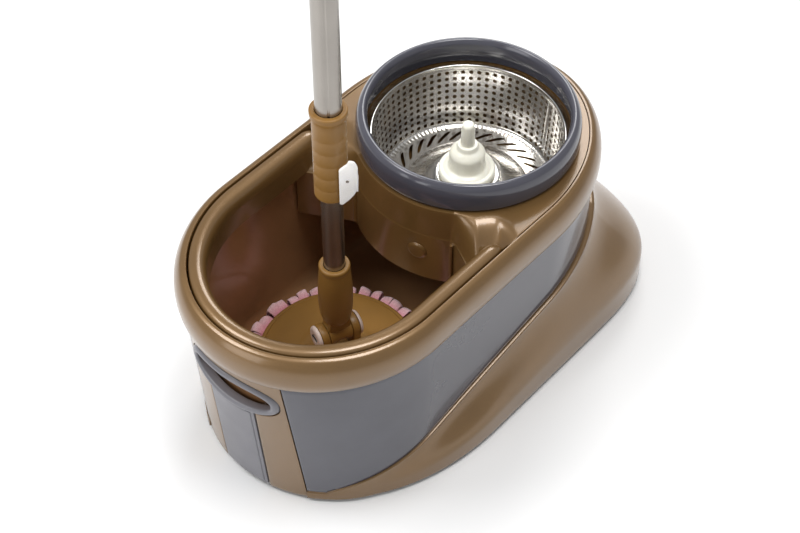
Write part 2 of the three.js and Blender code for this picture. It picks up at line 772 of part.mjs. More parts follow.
const centrePin = () =>
  turned([
    [0, HUB_TIER_TOP + 8 + GAP],
    [CENTRE_PIN_R, HUB_TIER_TOP + 8 + GAP],
    [CENTRE_PIN_R - 0.8, CENTRE_PIN_TOP - 2],
    [CENTRE_PIN_R - 2.6, CENTRE_PIN_TOP],
    [0, CENTRE_PIN_TOP],
  ], 24);

// Nut under the basket's floor that pulls the hub down on the sheet.
const hubNut = () =>
  turned([
    [SPINDLE_R + 5.8, BASKET_CROWN_Z - 9],
    [26, BASKET_CROWN_Z - 9],
    [28, BASKET_CROWN_Z - 6],
    [28, BASKET_CROWN_Z - GAP],
    [SPINDLE_R + 5.8, BASKET_CROWN_Z - GAP],
  ], 12);

const hubBearing = () =>
  tube(10.2, SPINDLE_R + RUN, BASKET_CROWN_Z - 10, HUB_TIER_TOP - 8, 24);

const spindleRod = () =>
  turned([
    [0, WELL_FLOOR - 6],
    [SPINDLE_R - 1.5, WELL_FLOOR - 6],
    [SPINDLE_R, WELL_FLOOR - 4.5],
    [SPINDLE_R, HUB_TIER_TOP - 7],
    [0, HUB_TIER_TOP - 7],
  ], 24);

const thrustWasher = () =>
  tube(9.6, SPINDLE_R + RUN, WELL_FLOOR + 12 + GAP, BASKET_CROWN_Z - 10 - GAP, 24);

const spindleNut = () =>
  cut(rodOf(10, WELL_FLOOR - 5.4, WELL_FLOOR - GAP, 6), rodOf(SPINDLE_R + RUN, 0, 400));

// ---------------------------------------------------------------- pull handle
// Lean and curve of the front wall, so that the handle lies along it.
const wallY = (z) => FRONT_CENTRE - FRONT_REACH - skinAt({ ny: -1 }, z);
const bow = (x) => (x * x * FRONT_REACH) / (2 * RIM_HALF * RIM_HALF);
// From the wall's outer face to the pin's axis, clear of the curved wall at the pin's ends.
const HANDLE_PIN_IN = SKIN + bow(TONGUE_FOOT_HALF + 5) + HANDLE_PIN_R + GAP + 0.2;

function alongWall(geometry) {
  const p = geometry.getAttribute("position");
  for (let i = 0; i < p.count; i++) {
    p.setY(i, p.getY(i) + bow(p.getX(i)) + wallY(p.getZ(i)));
  }
  return geometry;
}

function pullHandle() {
  const sections = [];
  const turns = 28;
  for (let i = 0; i < turns; i++) {
    const a = (i / turns) * 2 * Math.PI;
    const cx = Math.sign(Math.cos(a)) * Math.abs(Math.cos(a)) ** 0.8;
    const cz = Math.sign(Math.sin(a)) * Math.abs(Math.sin(a)) ** 0.8;
    const at = (k) => [(GRIP_HALF - k) * cx, GRIP_Z + (GRIP_HEIGHT / 2 - k) * cz];
    const lift = GRIP_PROUD - Math.abs(cx);
    const back = GRIP_DEPTH - lift;
    sections.push(
      [[0, 2.5 - lift], [2.4, -lift], [GRIP_BAR - 2.4, -lift], [GRIP_BAR, 2 - lift], [GRIP_BAR, back], [0, back]].map(
        ([k, y]) => {
          const [x, z] = at(k);
          return [x, y, z];
        },
      ),
    );
  }
  const ring = alongWall(lofted(sections));
  const tongueFoot = HANDLE_PIN_Z - 3.5;
  const tongueTop = GRIP_Z - GRIP_HEIGHT / 2 + GRIP_BAR / 2;
  const rows = 3;
  const columns = 4;
  const bands = [];
  for (let i = 0; i <= columns; i++) {
    const section = [];
    for (let j = 0; j <= rows; j++) section.push([i, j, -0.6]);
    for (let j = rows; j >= 0; j--) section.push([i, j, TONGUE_THICK - 0.6]);
    bands.push(
      section.map(([column, row, y]) => {
        const v = row / rows;
        const half = mix(TONGUE_FOOT_HALF, TONGUE_TOP_HALF, v);
        return [mix(-half, half, column / columns), y, mix(tongueFoot, tongueTop, v)];
      }),
    );
  }
  const flat = bands[0].map(([, y, z]) => [y, z]);
  const tongue = alongWall(lofted(bands, flat));
  const y = wallY(HANDLE_PIN_Z) + HANDLE_PIN_IN;
  const half = TONGUE_FOOT_HALF - 2;
  const barrel = alongX(HANDLE_BARREL_R, -half, half).translate(0, y, HANDLE_PIN_Z);
  const bore = alongX(HANDLE_PIN_R + RUN, -60, 60).translate(0, y, HANDLE_PIN_Z);
  const foot = block(-half, half, y - HANDLE_PIN_IN + 2, y, tongueFoot, HANDLE_PIN_Z + 3);
  return cut(join(ring, tongue, foot, barrel), bore);
}

const handlePin = () =>
  alongX(HANDLE_PIN_R, -TONGUE_FOOT_HALF - 5, TONGUE_FOOT_HALF + 5).translate(
    0,
    wallY(HANDLE_PIN_Z) + HANDLE_PIN_IN,
    HANDLE_PIN_Z,
  );

// ---------------------------------------------------------------- mop head
// Pieces of the knuckle are made along X and turned to the knuckle's direction.
const onKnuckle = (geometry) => geometry.rotateZ(rad(KNUCKLE_ANGLE)).translate(0, MOP_Y, 0);
const acrossKnuckle = (r, x0, x1, facets = SMALL) =>
  rodOf(r, x0, x1, facets).rotateY(Math.PI / 2).translate(0, 0, KNUCKLE_Z);

const mopPlate = () =>
  turned([
    [0, MOP_PLATE_TOP - MOP_PLATE_THICK],
    [MOP_PLATE_R - 1.5, MOP_PLATE_TOP - MOP_PLATE_THICK],
    [MOP_PLATE_R, MOP_PLATE_TOP - MOP_PLATE_THICK + 2],
    [MOP_PLATE_R, MOP_PLATE_TOP - 2],
    [MOP_PLATE_R - 2.5, MOP_PLATE_TOP],
    [30, MOP_PLATE_TOP + 1.5],
    [0, MOP_PLATE_TOP + 1.5],
  ], 40).translate(0, MOP_Y, 0);

function knuckleBase() {
  const foot = MOP_PLATE_TOP + 1.5 + GAP;
  const disc = turned([[0, foot], [25, foot], [25, foot + 2], [22.5, foot + 4], [0, foot + 4]], 24);
  const parts = [disc];
  for (const s of [-1, 1]) {
    const [x0, x1] = [s * EAR_IN, s * EAR_OUT].sort((a, b) => a - b);
    parts.push(acrossKnuckle(KNUCKLE_R, x0, x1));
    parts.push(block(x0, x1, -KNUCKLE_R + 0.4, KNUCKLE_R - 0.4, foot + 1, KNUCKLE_Z));
  }
  return onKnuckle(cut(join(...parts), acrossKnuckle(3 + RUN, -40, 40)));
}

const knucklePin = () => onKnuckle(acrossKnuckle(3, -EAR_OUT - 2, EAR_OUT + 2));

function knuckleCap(sign) {
  const cap = turned([
    [3 + RUN, EAR_OUT + GAP],
    [KNUCKLE_R, EAR_OUT + GAP],
    [KNUCKLE_R, EAR_OUT + 2.6],
    [KNUCKLE_R - 1.6, EAR_OUT + 4.2],
    [0, EAR_OUT + 4.2],
    [0, EAR_OUT + 2 + GAP],
    [3 + RUN, EAR_OUT + 2 + GAP],
  ].reverse(), SMALL);
  cap.rotateY((sign * Math.PI) / 2).translate(0, 0, KNUCKLE_Z);
  return onKnuckle(cap);
}

function lowerSocket() {
  const bore = LOWER_TUBE_R + RUN;
  const body = turned([
    [0, SOCKET_FOOT],
    [13.2, SOCKET_FOOT],
    [15.8, SOCKET_FOOT + 12],
    [17, SOCKET_FOOT + 32],
    [16.8, SOCKET_FOOT + 56],
    [14.6, SOCKET_TOP - 4],
    [14.4, SOCKET_TOP],
    [bore, SOCKET_TOP],
    [bore, SOCKET_FOOT + 16],
    [0, SOCKET_FOOT + 16],
  ], 24);
  const half = EAR_IN - 0.5;
  const neck = block(-half, half, -8.4, 8.4, KNUCKLE_Z, SOCKET_FOOT + 3);
  const barrel = acrossKnuckle(KNUCKLE_R, -half, half);
  return onKnuckle(cut(join(body, neck, barrel), acrossKnuckle(3 + RUN, -40, 40)));
}

const fibreCarrier = () => {
  const top = MOP_PLATE_TOP - MOP_PLATE_THICK - GAP;
  return tube(66, 44, top - 4.5, top, 32).translate(0, MOP_Y, 0);
};

const microfibrePile = () => {
  const under = MOP_PLATE_TOP - MOP_PLATE_THICK - GAP;
  return turned([
    [0, TUB_FLOOR + GAP],
    [PILE_R - 5, TUB_FLOOR + GAP],
    [PILE_R, TUB_FLOOR + 8],
    [PILE_R, under - 12],
    [PILE_R - 3, under + 1],
    [MOP_PLATE_R + 0.8, under + 4],
    [MOP_PLATE_R + 0.8, under],
    [66.8, under],
    [66.8, under - 5.3],
    [0, under - 5.3],
  ], 32).translate(0, MOP_Y, 0);
};

// ---------------------------------------------------------------- mop handle
const onPole = (geometry) => geometry.translate(0, MOP_Y, 0);

const lowerTube = () =>
  onPole(tube(LOWER_TUBE_R, LOWER_TUBE_R - TUBE_WALL, SOCKET_FOOT + 16 + GAP, LOWER_TUBE_TOP, 24));

// A flat bar twisted about the pole's axis, a little larger for the nut's own slot.
function twistedBar(z0, z1, grow, steps) {
  const a = ROD_HALF + grow;
  const b = ROD_THICK / 2 + grow;
  const corners = [[-a, -b], [a, -b], [a, b], [-a, b]];
  const sections = [];
  for (let i = 0; i <= steps; i++) {
    const z = mix(z0, z1, i / steps);
    const turn = (2 * Math.PI * z) / ROD_LEAD;
    const c = Math.cos(turn);
    const s = Math.sin(turn);
    sections.push(corners.map(([x, y]) => [x * c - y * s, x * s + y * c, z]));
  }
  return lofted(sections, corners);
}

const twistRod = () => onPole(twistedBar(ROD_FOOT, ROD_TOP, 0, 80));

function driveNut() {
  const r = LOWER_TUBE_R - TUBE_WALL - RUN;
  const body = rodOf(r, LOWER_TUBE_TOP - 9, LOWER_TUBE_TOP - 1, 24);
  return onPole(cut(body, twistedBar(LOWER_TUBE_TOP - 12, LOWER_TUBE_TOP + 2, 0.6, 4)));
}

const slideBush = () =>
  onPole(tube(LOWER_TUBE_R + RUN + 1.4, LOWER_TUBE_R + RUN, SLEEVE_FOOT + 1, SLEEVE_FOOT + 13, 24));

function lockSleeve() {
  const bushBore = LOWER_TUBE_R + RUN + 1.4 + RUN;
  const tubeBore = UPPER_TUBE_R + RUN;
  const seat = SLEEVE_FOOT + 16;
  const body = turned([
    [LOWER_TUBE_R + RUN, SLEEVE_FOOT],
    [SLEEVE_R - 0.8, SLEEVE_FOOT],
    [SLEEVE_R, SLEEVE_FOOT + 2],
    [SLEEVE_R, SLEEVE_TOP - 16],
    [SLEEVE_R + 1.6, SLEEVE_TOP - 8],
    [SLEEVE_R + 1.8, SLEEVE_TOP],
    [tubeBore, SLEEVE_TOP],
    [tubeBore, seat],
    [bushBore, seat],
    [bushBore, SLEEVE_FOOT + GAP + 0.2],
    [LOWER_TUBE_R + RUN, SLEEVE_FOOT + GAP + 0.2],
  ], 24);
  const window = block(-30, -11, -5, 5, LEVER_PIVOT_Z - 2, LEVER_PIVOT_Z + 24);
  const pinWay = rodOf(1.5 + RUN, -40, 40, 12)
    .rotateX(Math.PI / 2)
    .translate(LEVER_PIVOT_U, 0, LEVER_PIVOT_Z);
  const cutting = [window, pinWay].map((g) => g.rotateZ(rad(LEVER_ANGLE)));
  return onPole(cut(body, ...cutting));
}

// Pad in the sleeve's window that the lever's cam pulls on to the tube.
function brakeShoe() {
  const shoe = block(-SLEEVE_R + 0.5, -UPPER_TUBE_R - 0.9, -4.6, 4.6, LEVER_PIVOT_Z - 1.5, LEVER_PIVOT_Z + 23.5);
  return onPole(shoe.rotateZ(rad(LEVER_ANGLE)));
}

// Lever with a tall cheek in front of the sleeve and a thumb pad that turns in behind it.
function lockLever() {
  const z = LEVER_PIVOT_Z;
  const foot = [[8, z - 30], [10.5, z - 31], [18, z - 23], [23, z - 15], [25, z - 6]];
  const head = [[25, z + 17], [22, z + 23.5], [17, z + 24.5], [15.5, z + 20.5], [11, z + 16.5], [8, z + 13]];
  const inner = SLEEVE_R + 0.7;
  const outer = inner + 2.4;
  const pad = block(21.5, 25, -inner - 1, -5, z - 14, z - 5);
  const pinWay = rodOf(1.5 + RUN, -40, 40, 12)
    .rotateX(Math.PI / 2)
    .translate(LEVER_PIVOT_U, 0, z);
  const lever = cut(join(slab([...foot, ...head], -outer, -inner), pad), pinWay);
  return onPole(lever.rotateZ(rad(LEVER_ANGLE)));
}

// Runs from the lever's cheek through the sleeve's side.
const leverPin = () =>
  onPole(
    rodOf(1.5, -5, SLEEVE_R + 3.4, 12)
      .rotateX(Math.PI / 2)
      .translate(LEVER_PIVOT_U, 0, LEVER_PIVOT_Z)
      .rotateZ(rad(LEVER_ANGLE)),
  );

const upperTube = () =>
  onPole(tube(UPPER_TUBE_R, UPPER_TUBE_R - TUBE_WALL, SLEEVE_FOOT + 16 + GAP, UPPER_TUBE_TOP, 24));

function rodAnchor() {
  const r = UPPER_TUBE_R - TUBE_WALL - GAP;
  const body = rodOf(r, ROD_TOP - 14, ROD_TOP + 4, 24);
  return onPole(cut(body, twistedBar(ROD_TOP - 18, ROD_TOP + GAP, 0.7, 5)));
}

function handleGrip() {
  const r = UPPER_TUBE_R + GAP;
  const profile = [[r, GRIP_TUBE_FOOT], [GRIP_TUBE_R + 0.5, GRIP_TUBE_FOOT]];
  const ribs = 5;
  const pitch = (CAP_TOP - 75 - GRIP_TUBE_FOOT) / ribs;
  for (let i = 0; i < ribs; i++) {
    const z = GRIP_TUBE_FOOT + 8 + i * pitch;
    profile.push([GRIP_TUBE_R + 0.5, z]);
    profile.push([GRIP_TUBE_R - 0.7, z + pitch / 2]);
  }
  const top = UPPER_TUBE_TOP + 6;
  profile.push([GRIP_TUBE_R + 0.5, top], [r, top]);
  return onPole(turned(profile, 18));
}

// End cap pressed into the grip, with a ring to hang the mop by.
function hangingCap() {
  const foot = UPPER_TUBE_TOP + GAP;
  const plug = rodOf(UPPER_TUBE_R - 0.2, foot, foot + 7, 24);
  const dome = turned([
    [0, foot + 6.2],
    [GRIP_TUBE_R + 0.3, foot + 6.2],
    [GRIP_TUBE_R - 1, foot + 18],
    [9, foot + 30],
    [0, foot + 32],
  ], 24);
  const r = 13;
  const loop = new THREE.TorusGeometry(r, 4, 8, 18)
    .scale(1, 1.25, 1)
    .rotateX(Math.PI / 2)
    .translate(0, 0, CAP_TOP - 1.25 * r - 5);
  return onPole(join(plug, dome, loop));
}

// ---------------------------------------------------------------- materials and assembly
const plastic = (color, roughness, metalness = 0) =>
  new THREE.MeshStandardMaterial({ color, roughness, metalness });
const BRONZE = plastic(0x8a6a3c, 0.32, 0.35);
const SLATE = plastic(0x5a5d68, 0.22);
const LIGHT_SLATE = plastic(0x85868c, 0.35);
const OCHRE = plastic(0x7d5a2c, 0.42);
const MILK = plastic(0xece9e2, 0.35);
const WHITE = plastic(0xf4f2f0, 0.4);
const CREAM = plastic(0xcabfb6, 0.5);
const BLACK = plastic(0x26262a, 0.6);
const RUBBER = plastic(0x202022, 0.85);
const STEEL = plastic(0xb9b6b2, 0.22, 1);
const PINK = plastic(0xf0b6c0, 0.95);

const root = new THREE.Group();
root.name = "spin_mop_set";

function add(name, geometry, material) {
  const mesh = new THREE.Mesh(closed(geometry), material);
  mesh.name = name;
  root.add(mesh);
}

add("bucket_tub", bucketTub(), BRONZE);
add("rim_band", rimBand(), BRONZE);
add("front_fascia", frontFascia(), BRONZE);
add("rear_fascia", rearFascia(), BRONZE);
add("side_panel_left", sidePanel(-1), SLATE);
add("side_panel_right", sidePanel(1), SLATE);
add("base_skirt", baseSkirt(), BRONZE);
add("base_plate", basePlate(), BLACK);
for (const [side, sign] of [["left", -1], ["right", 1]]) {
  add("axle_bracket_" + side, axleBracket(sign), BLACK);
  add("axle_cap_" + side, axleCap(sign), BLACK);
  add("stub_axle_" + side, stubAxle(sign), STEEL);
  add("wheel_" + side, wheelHub(sign), BLACK);
  add("tyre_" + side, tyre(sign), RUBBER);
  add("front_foot_" + side, rubberFoot(sign), RUBBER);
}
add("deck_cover", deckCover(), BRONZE);
add("basket_well", basketWell(), BRONZE);
add("splash_ring", splashRing(), SLATE);
add("basket_shell", basketShell(), STEEL);
add("basket_hub", basketHub(), MILK);
add("centre_pin", centrePin(), MILK);
add("hub_nut", hubNut(), MILK);
add("hub_bearing", hubBearing(), WHITE);
add("spindle", spindleRod(), STEEL);
add("thrust_washer", thrustWasher(), WHITE);
add("spindle_nut", spindleNut(), STEEL);
add("pull_handle", pullHandle(), LIGHT_SLATE);
add("handle_pin", handlePin(), STEEL);
add("mop_plate", mopPlate(), OCHRE);
add("fibre_carrier", fibreCarrier(), WHITE);
add("microfibre_pile", microfibrePile(), PINK);
add("knuckle_base", knuckleBase(), OCHRE);
add("knuckle_pin", knucklePin(), STEEL);
add("knuckle_cap_front", knuckleCap(-1), CREAM);
add("knuckle_cap_rear", knuckleCap(1), CREAM);
add("lower_socket", lowerSocket(), OCHRE);
add("lower_tube", lowerTube(), STEEL);
add("drive_nut", driveNut(), WHITE);
add("slide_bush", slideBush(), WHITE);
add("lock_sleeve", lockSleeve(), OCHRE);
add("brake_shoe", brakeShoe(), WHITE);
add("lock_lever", lockLever(), WHITE);
add("lever_pin", leverPin(), STEEL);
add("upper_tube", upperTube(), STEEL);
add("twist_rod", twistRod(), STEEL);
add("rod_anchor", rodAnchor(), BLACK);
add("handle_grip", handleGrip(), OCHRE);
add("hanging_cap", hangingCap(), OCHRE);

// The part's origin is the centre of its footprint.
root.updateMatrixWorld(true);
const box = new THREE.Box3().setFromObject(root);
root.position.set(-(box.min.x + box.max.x) / 2, -(box.min.y + box.max.y) / 2, -box.min.z);

export default root;
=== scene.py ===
import json
import math
import random

import bmesh
import bpy
import numpy as np
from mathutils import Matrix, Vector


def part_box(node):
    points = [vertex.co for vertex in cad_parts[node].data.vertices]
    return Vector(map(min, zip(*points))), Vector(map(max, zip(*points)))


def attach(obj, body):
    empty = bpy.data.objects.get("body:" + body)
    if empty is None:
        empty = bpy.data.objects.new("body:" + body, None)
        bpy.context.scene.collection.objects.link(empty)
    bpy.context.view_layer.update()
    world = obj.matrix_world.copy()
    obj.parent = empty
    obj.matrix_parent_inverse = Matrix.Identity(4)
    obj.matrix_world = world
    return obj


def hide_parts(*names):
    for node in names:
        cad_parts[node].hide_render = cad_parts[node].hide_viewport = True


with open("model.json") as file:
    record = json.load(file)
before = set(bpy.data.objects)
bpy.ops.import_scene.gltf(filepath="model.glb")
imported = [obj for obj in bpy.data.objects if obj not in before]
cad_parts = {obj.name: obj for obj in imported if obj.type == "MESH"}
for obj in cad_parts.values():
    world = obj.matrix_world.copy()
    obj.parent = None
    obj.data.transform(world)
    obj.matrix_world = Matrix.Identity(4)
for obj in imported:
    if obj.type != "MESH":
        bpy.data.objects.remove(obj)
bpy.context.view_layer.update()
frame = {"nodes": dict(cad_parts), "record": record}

bl_info = {
    "name": "Spin mop set",
    "version": (1, 0, 0),
    "blender": (4, 5, 0),
    "location": "View3D > Sidebar > Spin mop",
    "description": "Builds the visible pieces of a two-zone spin mop bucket and its mop",
    "category": "Mesh",
}

MM = 0.001
SEED = 11
TUB_TOP = 205 * MM  # upper edge of the tub's wall, under the rim
TUB_FLANGE = 179 * MM  # shelf on the tub that the skins rest against


def middle(node):
    """Centre of a CAD node's box."""
    low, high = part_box(node)
    return (low + high) / 2


AXIS = middle("splash_ring")  # the basket turns about this upright line
POLE = middle("lower_tube")  # the mop's pole
RIM_LOW, RIM_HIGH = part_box("rim_band")


# ------------------------------------------------------------------ sizes and colours
def length(name, description, default):
    """A size that a user can change, in metres."""
    return bpy.props.FloatProperty(
        name=name, description=description, default=default, unit="LENGTH", precision=4
    )


def turn(name, description, degrees):
    """An angle that a user can change."""
    return bpy.props.FloatProperty(
        name=name, description=description, default=math.radians(degrees), subtype="ANGLE"
    )


def tint(name, description, hex_value):
    """A colour that a user can change, written as an sRGB hex value."""
    return bpy.props.FloatVectorProperty(
        name=name, description=description, default=linear(hex_value), subtype="COLOR", size=3, min=0, max=1
    )


def linear(hex_value):
    """An sRGB hex value as linear red, green and blue."""
    parts = [int(hex_value[i : i + 2], 16) / 255 for i in (1, 3, 5)]
    return [c / 12.92 if c <= 0.04045 else ((c + 0.055) / 1.055) ** 2.4 for c in parts]


class SpinMopBucketSizes(bpy.types.PropertyGroup):
    """Sizes of the bucket, its skins, its deck and its pull handle."""

    rim_half: length("Rim half width", "Half the width of the rim's plan", 0.138)
    front_reach: length("Front reach", "Length of the plan's front half ellipse", 0.147)
    front_centre: length("Front centre", "Front ellipse's centre from the basket's axis", -0.209)
    rear_reach: length("Rear reach", "Length of the plan's rear half ellipse", 0.1715)
    rear_centre: length("Rear centre", "Rear ellipse's centre from the basket's axis", -0.0315)
    base_half: length("Base half width", "Half the width of the base", 0.155)
    base_front_reach: length("Base front reach", "Length of the base's front end", 0.203)
    base_front_centre: length("Base front centre", "Where the base's front end starts", -0.13)
    base_rear_reach: length("Base rear reach", "Length of the base's tail", 0.16)
    base_rear_centre: length("Base rear centre", "Where the base's tail starts", 0.02)
    wall: length("Wall", "Thickness of the mouldings", 0.0025)
    skin_set: length("Skin set back", "How far the skin stands inside the rim's plan", 0.004)
    front_taper: length("Front taper", "How far the front leans in towards the floor", 0.0165)
    side_taper: length("Side taper", "How far the sides lean in towards the floor", 0.005)
    rear_taper: length("Rear taper", "How far the rear leans in towards the floor", -0.008)
    tub_set: length("Tub set back", "How far the tub stands inside the rim's plan", 0.0134)
    tub_floor: length("Tub floor", "Height of the tub's floor", 0.0184)
    tub_corner: length("Tub corner", "Radius between the tub's wall and floor", 0.018)
    fascia_top: length("Fascia top half width", "Half the fascia's width at the rim", 0.057)
    fascia_foot: length("Fascia foot half width", "Half the fascia's width at the floor", 0.067)
    seam: length("Seam", "Open joint between neighbouring skins", 0.0009)
    sweep_front_y: length("Sweep front", "Where the sweep starts to rise", -0.318)
    sweep_front_z: length("Sweep front height", "Height of the sweep's edge at the front", 0.013)
    sweep_rear_y: length("Sweep rear", "Where the sweep stops rising", 0.09)
    sweep_rear_z: length("Sweep rear height", "Height of the sweep's edge at the rear", 0.12)
    skirt_foot: length("Skirt foot", "Height of the skirt's lower edge", 0.004)
    band_top: length("Band height", "Height of the upright band round the tail", 0.032)
    deck_top: length("Deck height", "Height of the platform round the basket", 0.226)
    deck_wall: length("Deck wall radius", "Radius of the deck's front wall", 0.1168)
    ledge: length("Ledge", "Height of the deck's side arms", 0.19)
    apron_foot: length("Apron foot", "Lower edge of the deck's front wall", 0.13)
    groove: length("Groove", "Dark gap between the rim and the insert", 0.0014)
    rim_inner: length("Rim inner edge", "How far the rim reaches in to the groove", 0.0116)
    lip_width: length("Lip width", "Width of the insert's rounded lip", 0.0175)
    lip_end: length("Lip end", "Where the lip's bead ends, from the basket's axis", -0.092)
    grip_half: length("Grip half width", "Half the width of the pull handle's ring", 0.0545)
    grip_height: length("Grip height", "Height of the pull handle's ring", 0.047)
    grip_z: length("Grip place", "Height of the ring's middle", 0.153)
    grip_bar: length("Grip bar", "Bar of the ring, seen from the front", 0.0075)
    grip_depth: length("Grip depth", "Depth of the ring's bar", 0.011)
    grip_proud: length("Grip proud", "How far the ring stands out of its recess", 0.003)
    tongue_top: length("Tongue top half width", "Half the handle plate's width at the ring", 0.028)
    tongue_foot: length("Tongue foot half width", "Half the handle plate's width at its hinge", 0.028)


class SpinMopBasketSizes(bpy.types.PropertyGroup):
    """Sizes of the splash ring and the wringer basket."""

    ring_radius: length("Ring radius", "Splash ring, outside", 0.112)
    ring_bore: length("Ring bore", "Splash ring, inside", 0.1002)
    ring_foot: length("Ring foot", "Height of the splash ring's lower edge", 0.2264)
    ring_top: length("Ring top", "Height of the splash ring's crown", 0.257)
    radius: length("Basket radius", "Basket at its rolled rim", 0.0985)
    floor_radius: length("Floor radius", "Basket at its floor", 0.092)
    floor_z: length("Floor height", "Height of the basket's floor", 0.150)
    crown_z: length("Crown height", "Height of the dome that carries the hub", 0.169)
    rim_z: length("Rim height", "Height of the basket's rolled rim", 0.228)
    hole: length("Hole", "Diameter of the wall's holes", 0.0046)
    pitch: length("Pitch", "Distance from hole to hole", 0.0086)
    sheet: length("Sheet", "Thickness of the steel sheet", 0.0005)


class SpinMopMopSizes(bpy.types.PropertyGroup):
    """Sizes of the mop's head and pole."""

    plate_radius: length("Plate radius", "Round plate that holds the microfibre", 0.08)
    plate_top: length("Plate top", "Height of the plate's upper face", 0.0665)
    pile_radius: length("Pile radius", "Reach of the microfibre strips", 0.0955)
    strip_width: length("Strip width", "Width of one microfibre strip", 0.0115)
    knuckle_z: length("Knuckle height", "Height of the tilting joint", 0.099)
    knuckle_radius: length("Knuckle radius", "Radius of the joint's barrels", 0.0126)
    knuckle_turn: turn("Knuckle direction", "Direction of the joint's pin from +X", 69.5)
    lever_turn: turn("Lever direction", "Direction that the lock lever points, from +X", 41)
    lower_tube: length("Lower tube radius", "Radius of the lower steel tube", 0.0104)
    upper_tube: length("Upper tube radius", "Radius of the upper steel tube", 0.0123)
    sleeve: length("Sleeve radius", "Radius of the lock sleeve", 0.0158)
    grip: length("Grip radius", "Radius of the hand grip", 0.0155)


class SpinMopColours(bpy.types.PropertyGroup):
    """Colours of the mouldings, the steel and the cloth."""

    bronze: tint("Bronze", "Body of the bucket", "#785A32")
    # Tub is a lighter, redder copy of the bronze: painted light standing in for the light that bounces round
    # inside the tub.
    tub: tint("Tub", "Inside of the water tub", "#A87C55")
    slate: tint("Slate", "Side panels and splash ring", "#4A4A53")
    grey: tint("Grey", "Pull handle", "#76757B")
    ochre: tint("Ochre", "Mop fittings", "#8C662F")
    milk: tint("Milk", "Basket's hub", "#F6F4E6")
    white: tint("White", "Lock lever and bearings", "#F6F4F2")
    cream: tint("Cream", "Knuckle's caps", "#D3BFB4")
    black: tint("Black", "Base and wheels", "#1F1F21")
    rubber: tint("Rubber", "Tyres and feet", "#1A1A1B")
    # Tube steel is set darker than stainless as painted shade, and sheet steel lighter as a painted highlight
    # on the basket.
    steel: tint("Tube steel", "Tubes, pins and nuts", "#A39E98")
    sheet: tint("Sheet steel", "Basket", "#E2DFDA")
    pink: tint("Pink", "Microfibre, outside", "#FBD9DC")
    # Deep pink is painted shade: the colour used deeper in the pile and on its core, where the strips lie in
    # shade.
    painted_shade_pink: tint("Deep pink", "Microfibre, in the folds", "#E79AA6")
    floor: tint("Floor", "Studio floor", "#F7F7F7")


class SpinMopStudio(bpy.types.PropertyGroup):
    """Camera."""

    camera_place: bpy.props.FloatVectorProperty(
        name="Camera place",
        description="Where the camera stands",
        default=(0.8234, -0.9651, 1.5138),
        unit="LENGTH",
        size=3,
    )
    azimuth: turn("Azimuth", "Direction the camera looks, from +Y towards -X", 40.9)
    pitch: turn("Pitch", "How far the camera looks down", 48.1)
    lens: bpy.props.FloatProperty(name="Lens", description="Focal length in millimetres", default=83.8)


# ------------------------------------------------------------------ small mathematics
def mix(a, b, t):
    """The value a share t of the way from a to b."""
    return a + (b - a) * t


def clamp(t):
    """A share, held between 0 and 1."""
    return min(1.0, max(0.0, t))


def ease(t):
    """A share that starts and ends slowly."""
    t = clamp(t)
    return t * t * (3 - 2 * t)


def solve(f, low, high, steps=36):
    """Where a rising function f passes zero between low and high."""
    for _ in range(steps):
        half = (low + high) / 2
        if f(half) < 0:
            low = half
        else:
            high = half
    return (low + high) / 2


def fillet(points, steps=5, closed=True):
    """An outline whose corners are rounded. A point is (across, up) or (across, up, radius)."""
    made = []
    count = len(points)
    for i, point in enumerate(points):
        here = np.array(point[:2], float)
        radius = point[2] if len(point) > 2 else 0
        end = not closed and i in (0, count - 1)
        if not radius or end:
            made.append(here)
            continue
        before = np.array(points[i - 1][:2], float) - here
        after = np.array(points[(i + 1) % count][:2], float) - here
        reach = min(radius, 0.49 * np.linalg.norm(before), 0.49 * np.linalg.norm(after))
        a = here + before / np.linalg.norm(before) * reach
        b = here + after / np.linalg.norm(after) * reach
        for k in range(steps + 1):
            t = k / steps
            made.append((1 - t) ** 2 * a + 2 * t * (1 - t) * here + t * t * b)
    return made


def through(points, per=6):
    """A smooth open line through points."""
    p = [np.array(q, float) for q in points]
    p = [2 * p[0] - p[1], *p, 2 * p[-1] - p[-2]]
    made = []
    for i in range(1, len(p) - 2):
        for k in range(per):
            t = k / per
            m0 = (p[i + 1] - p[i - 1]) / 2
            m1 = (p[i + 2] - p[i]) / 2
            made.append(
                (2 * t**3 - 3 * t**2 + 1) * p[i]
                + (t**3 - 2 * t**2 + t) * m0
                + (3 * t**2 - 2 * t**3) * p[i + 1]
                + (t**3 - t**2) * m1
            )
    made.append(p[-2])
    return made


def scaled(points):
    """An outline written in millimetres as metres, its corner radii with it."""
    return [tuple(c * MM for c in point) for point in points]


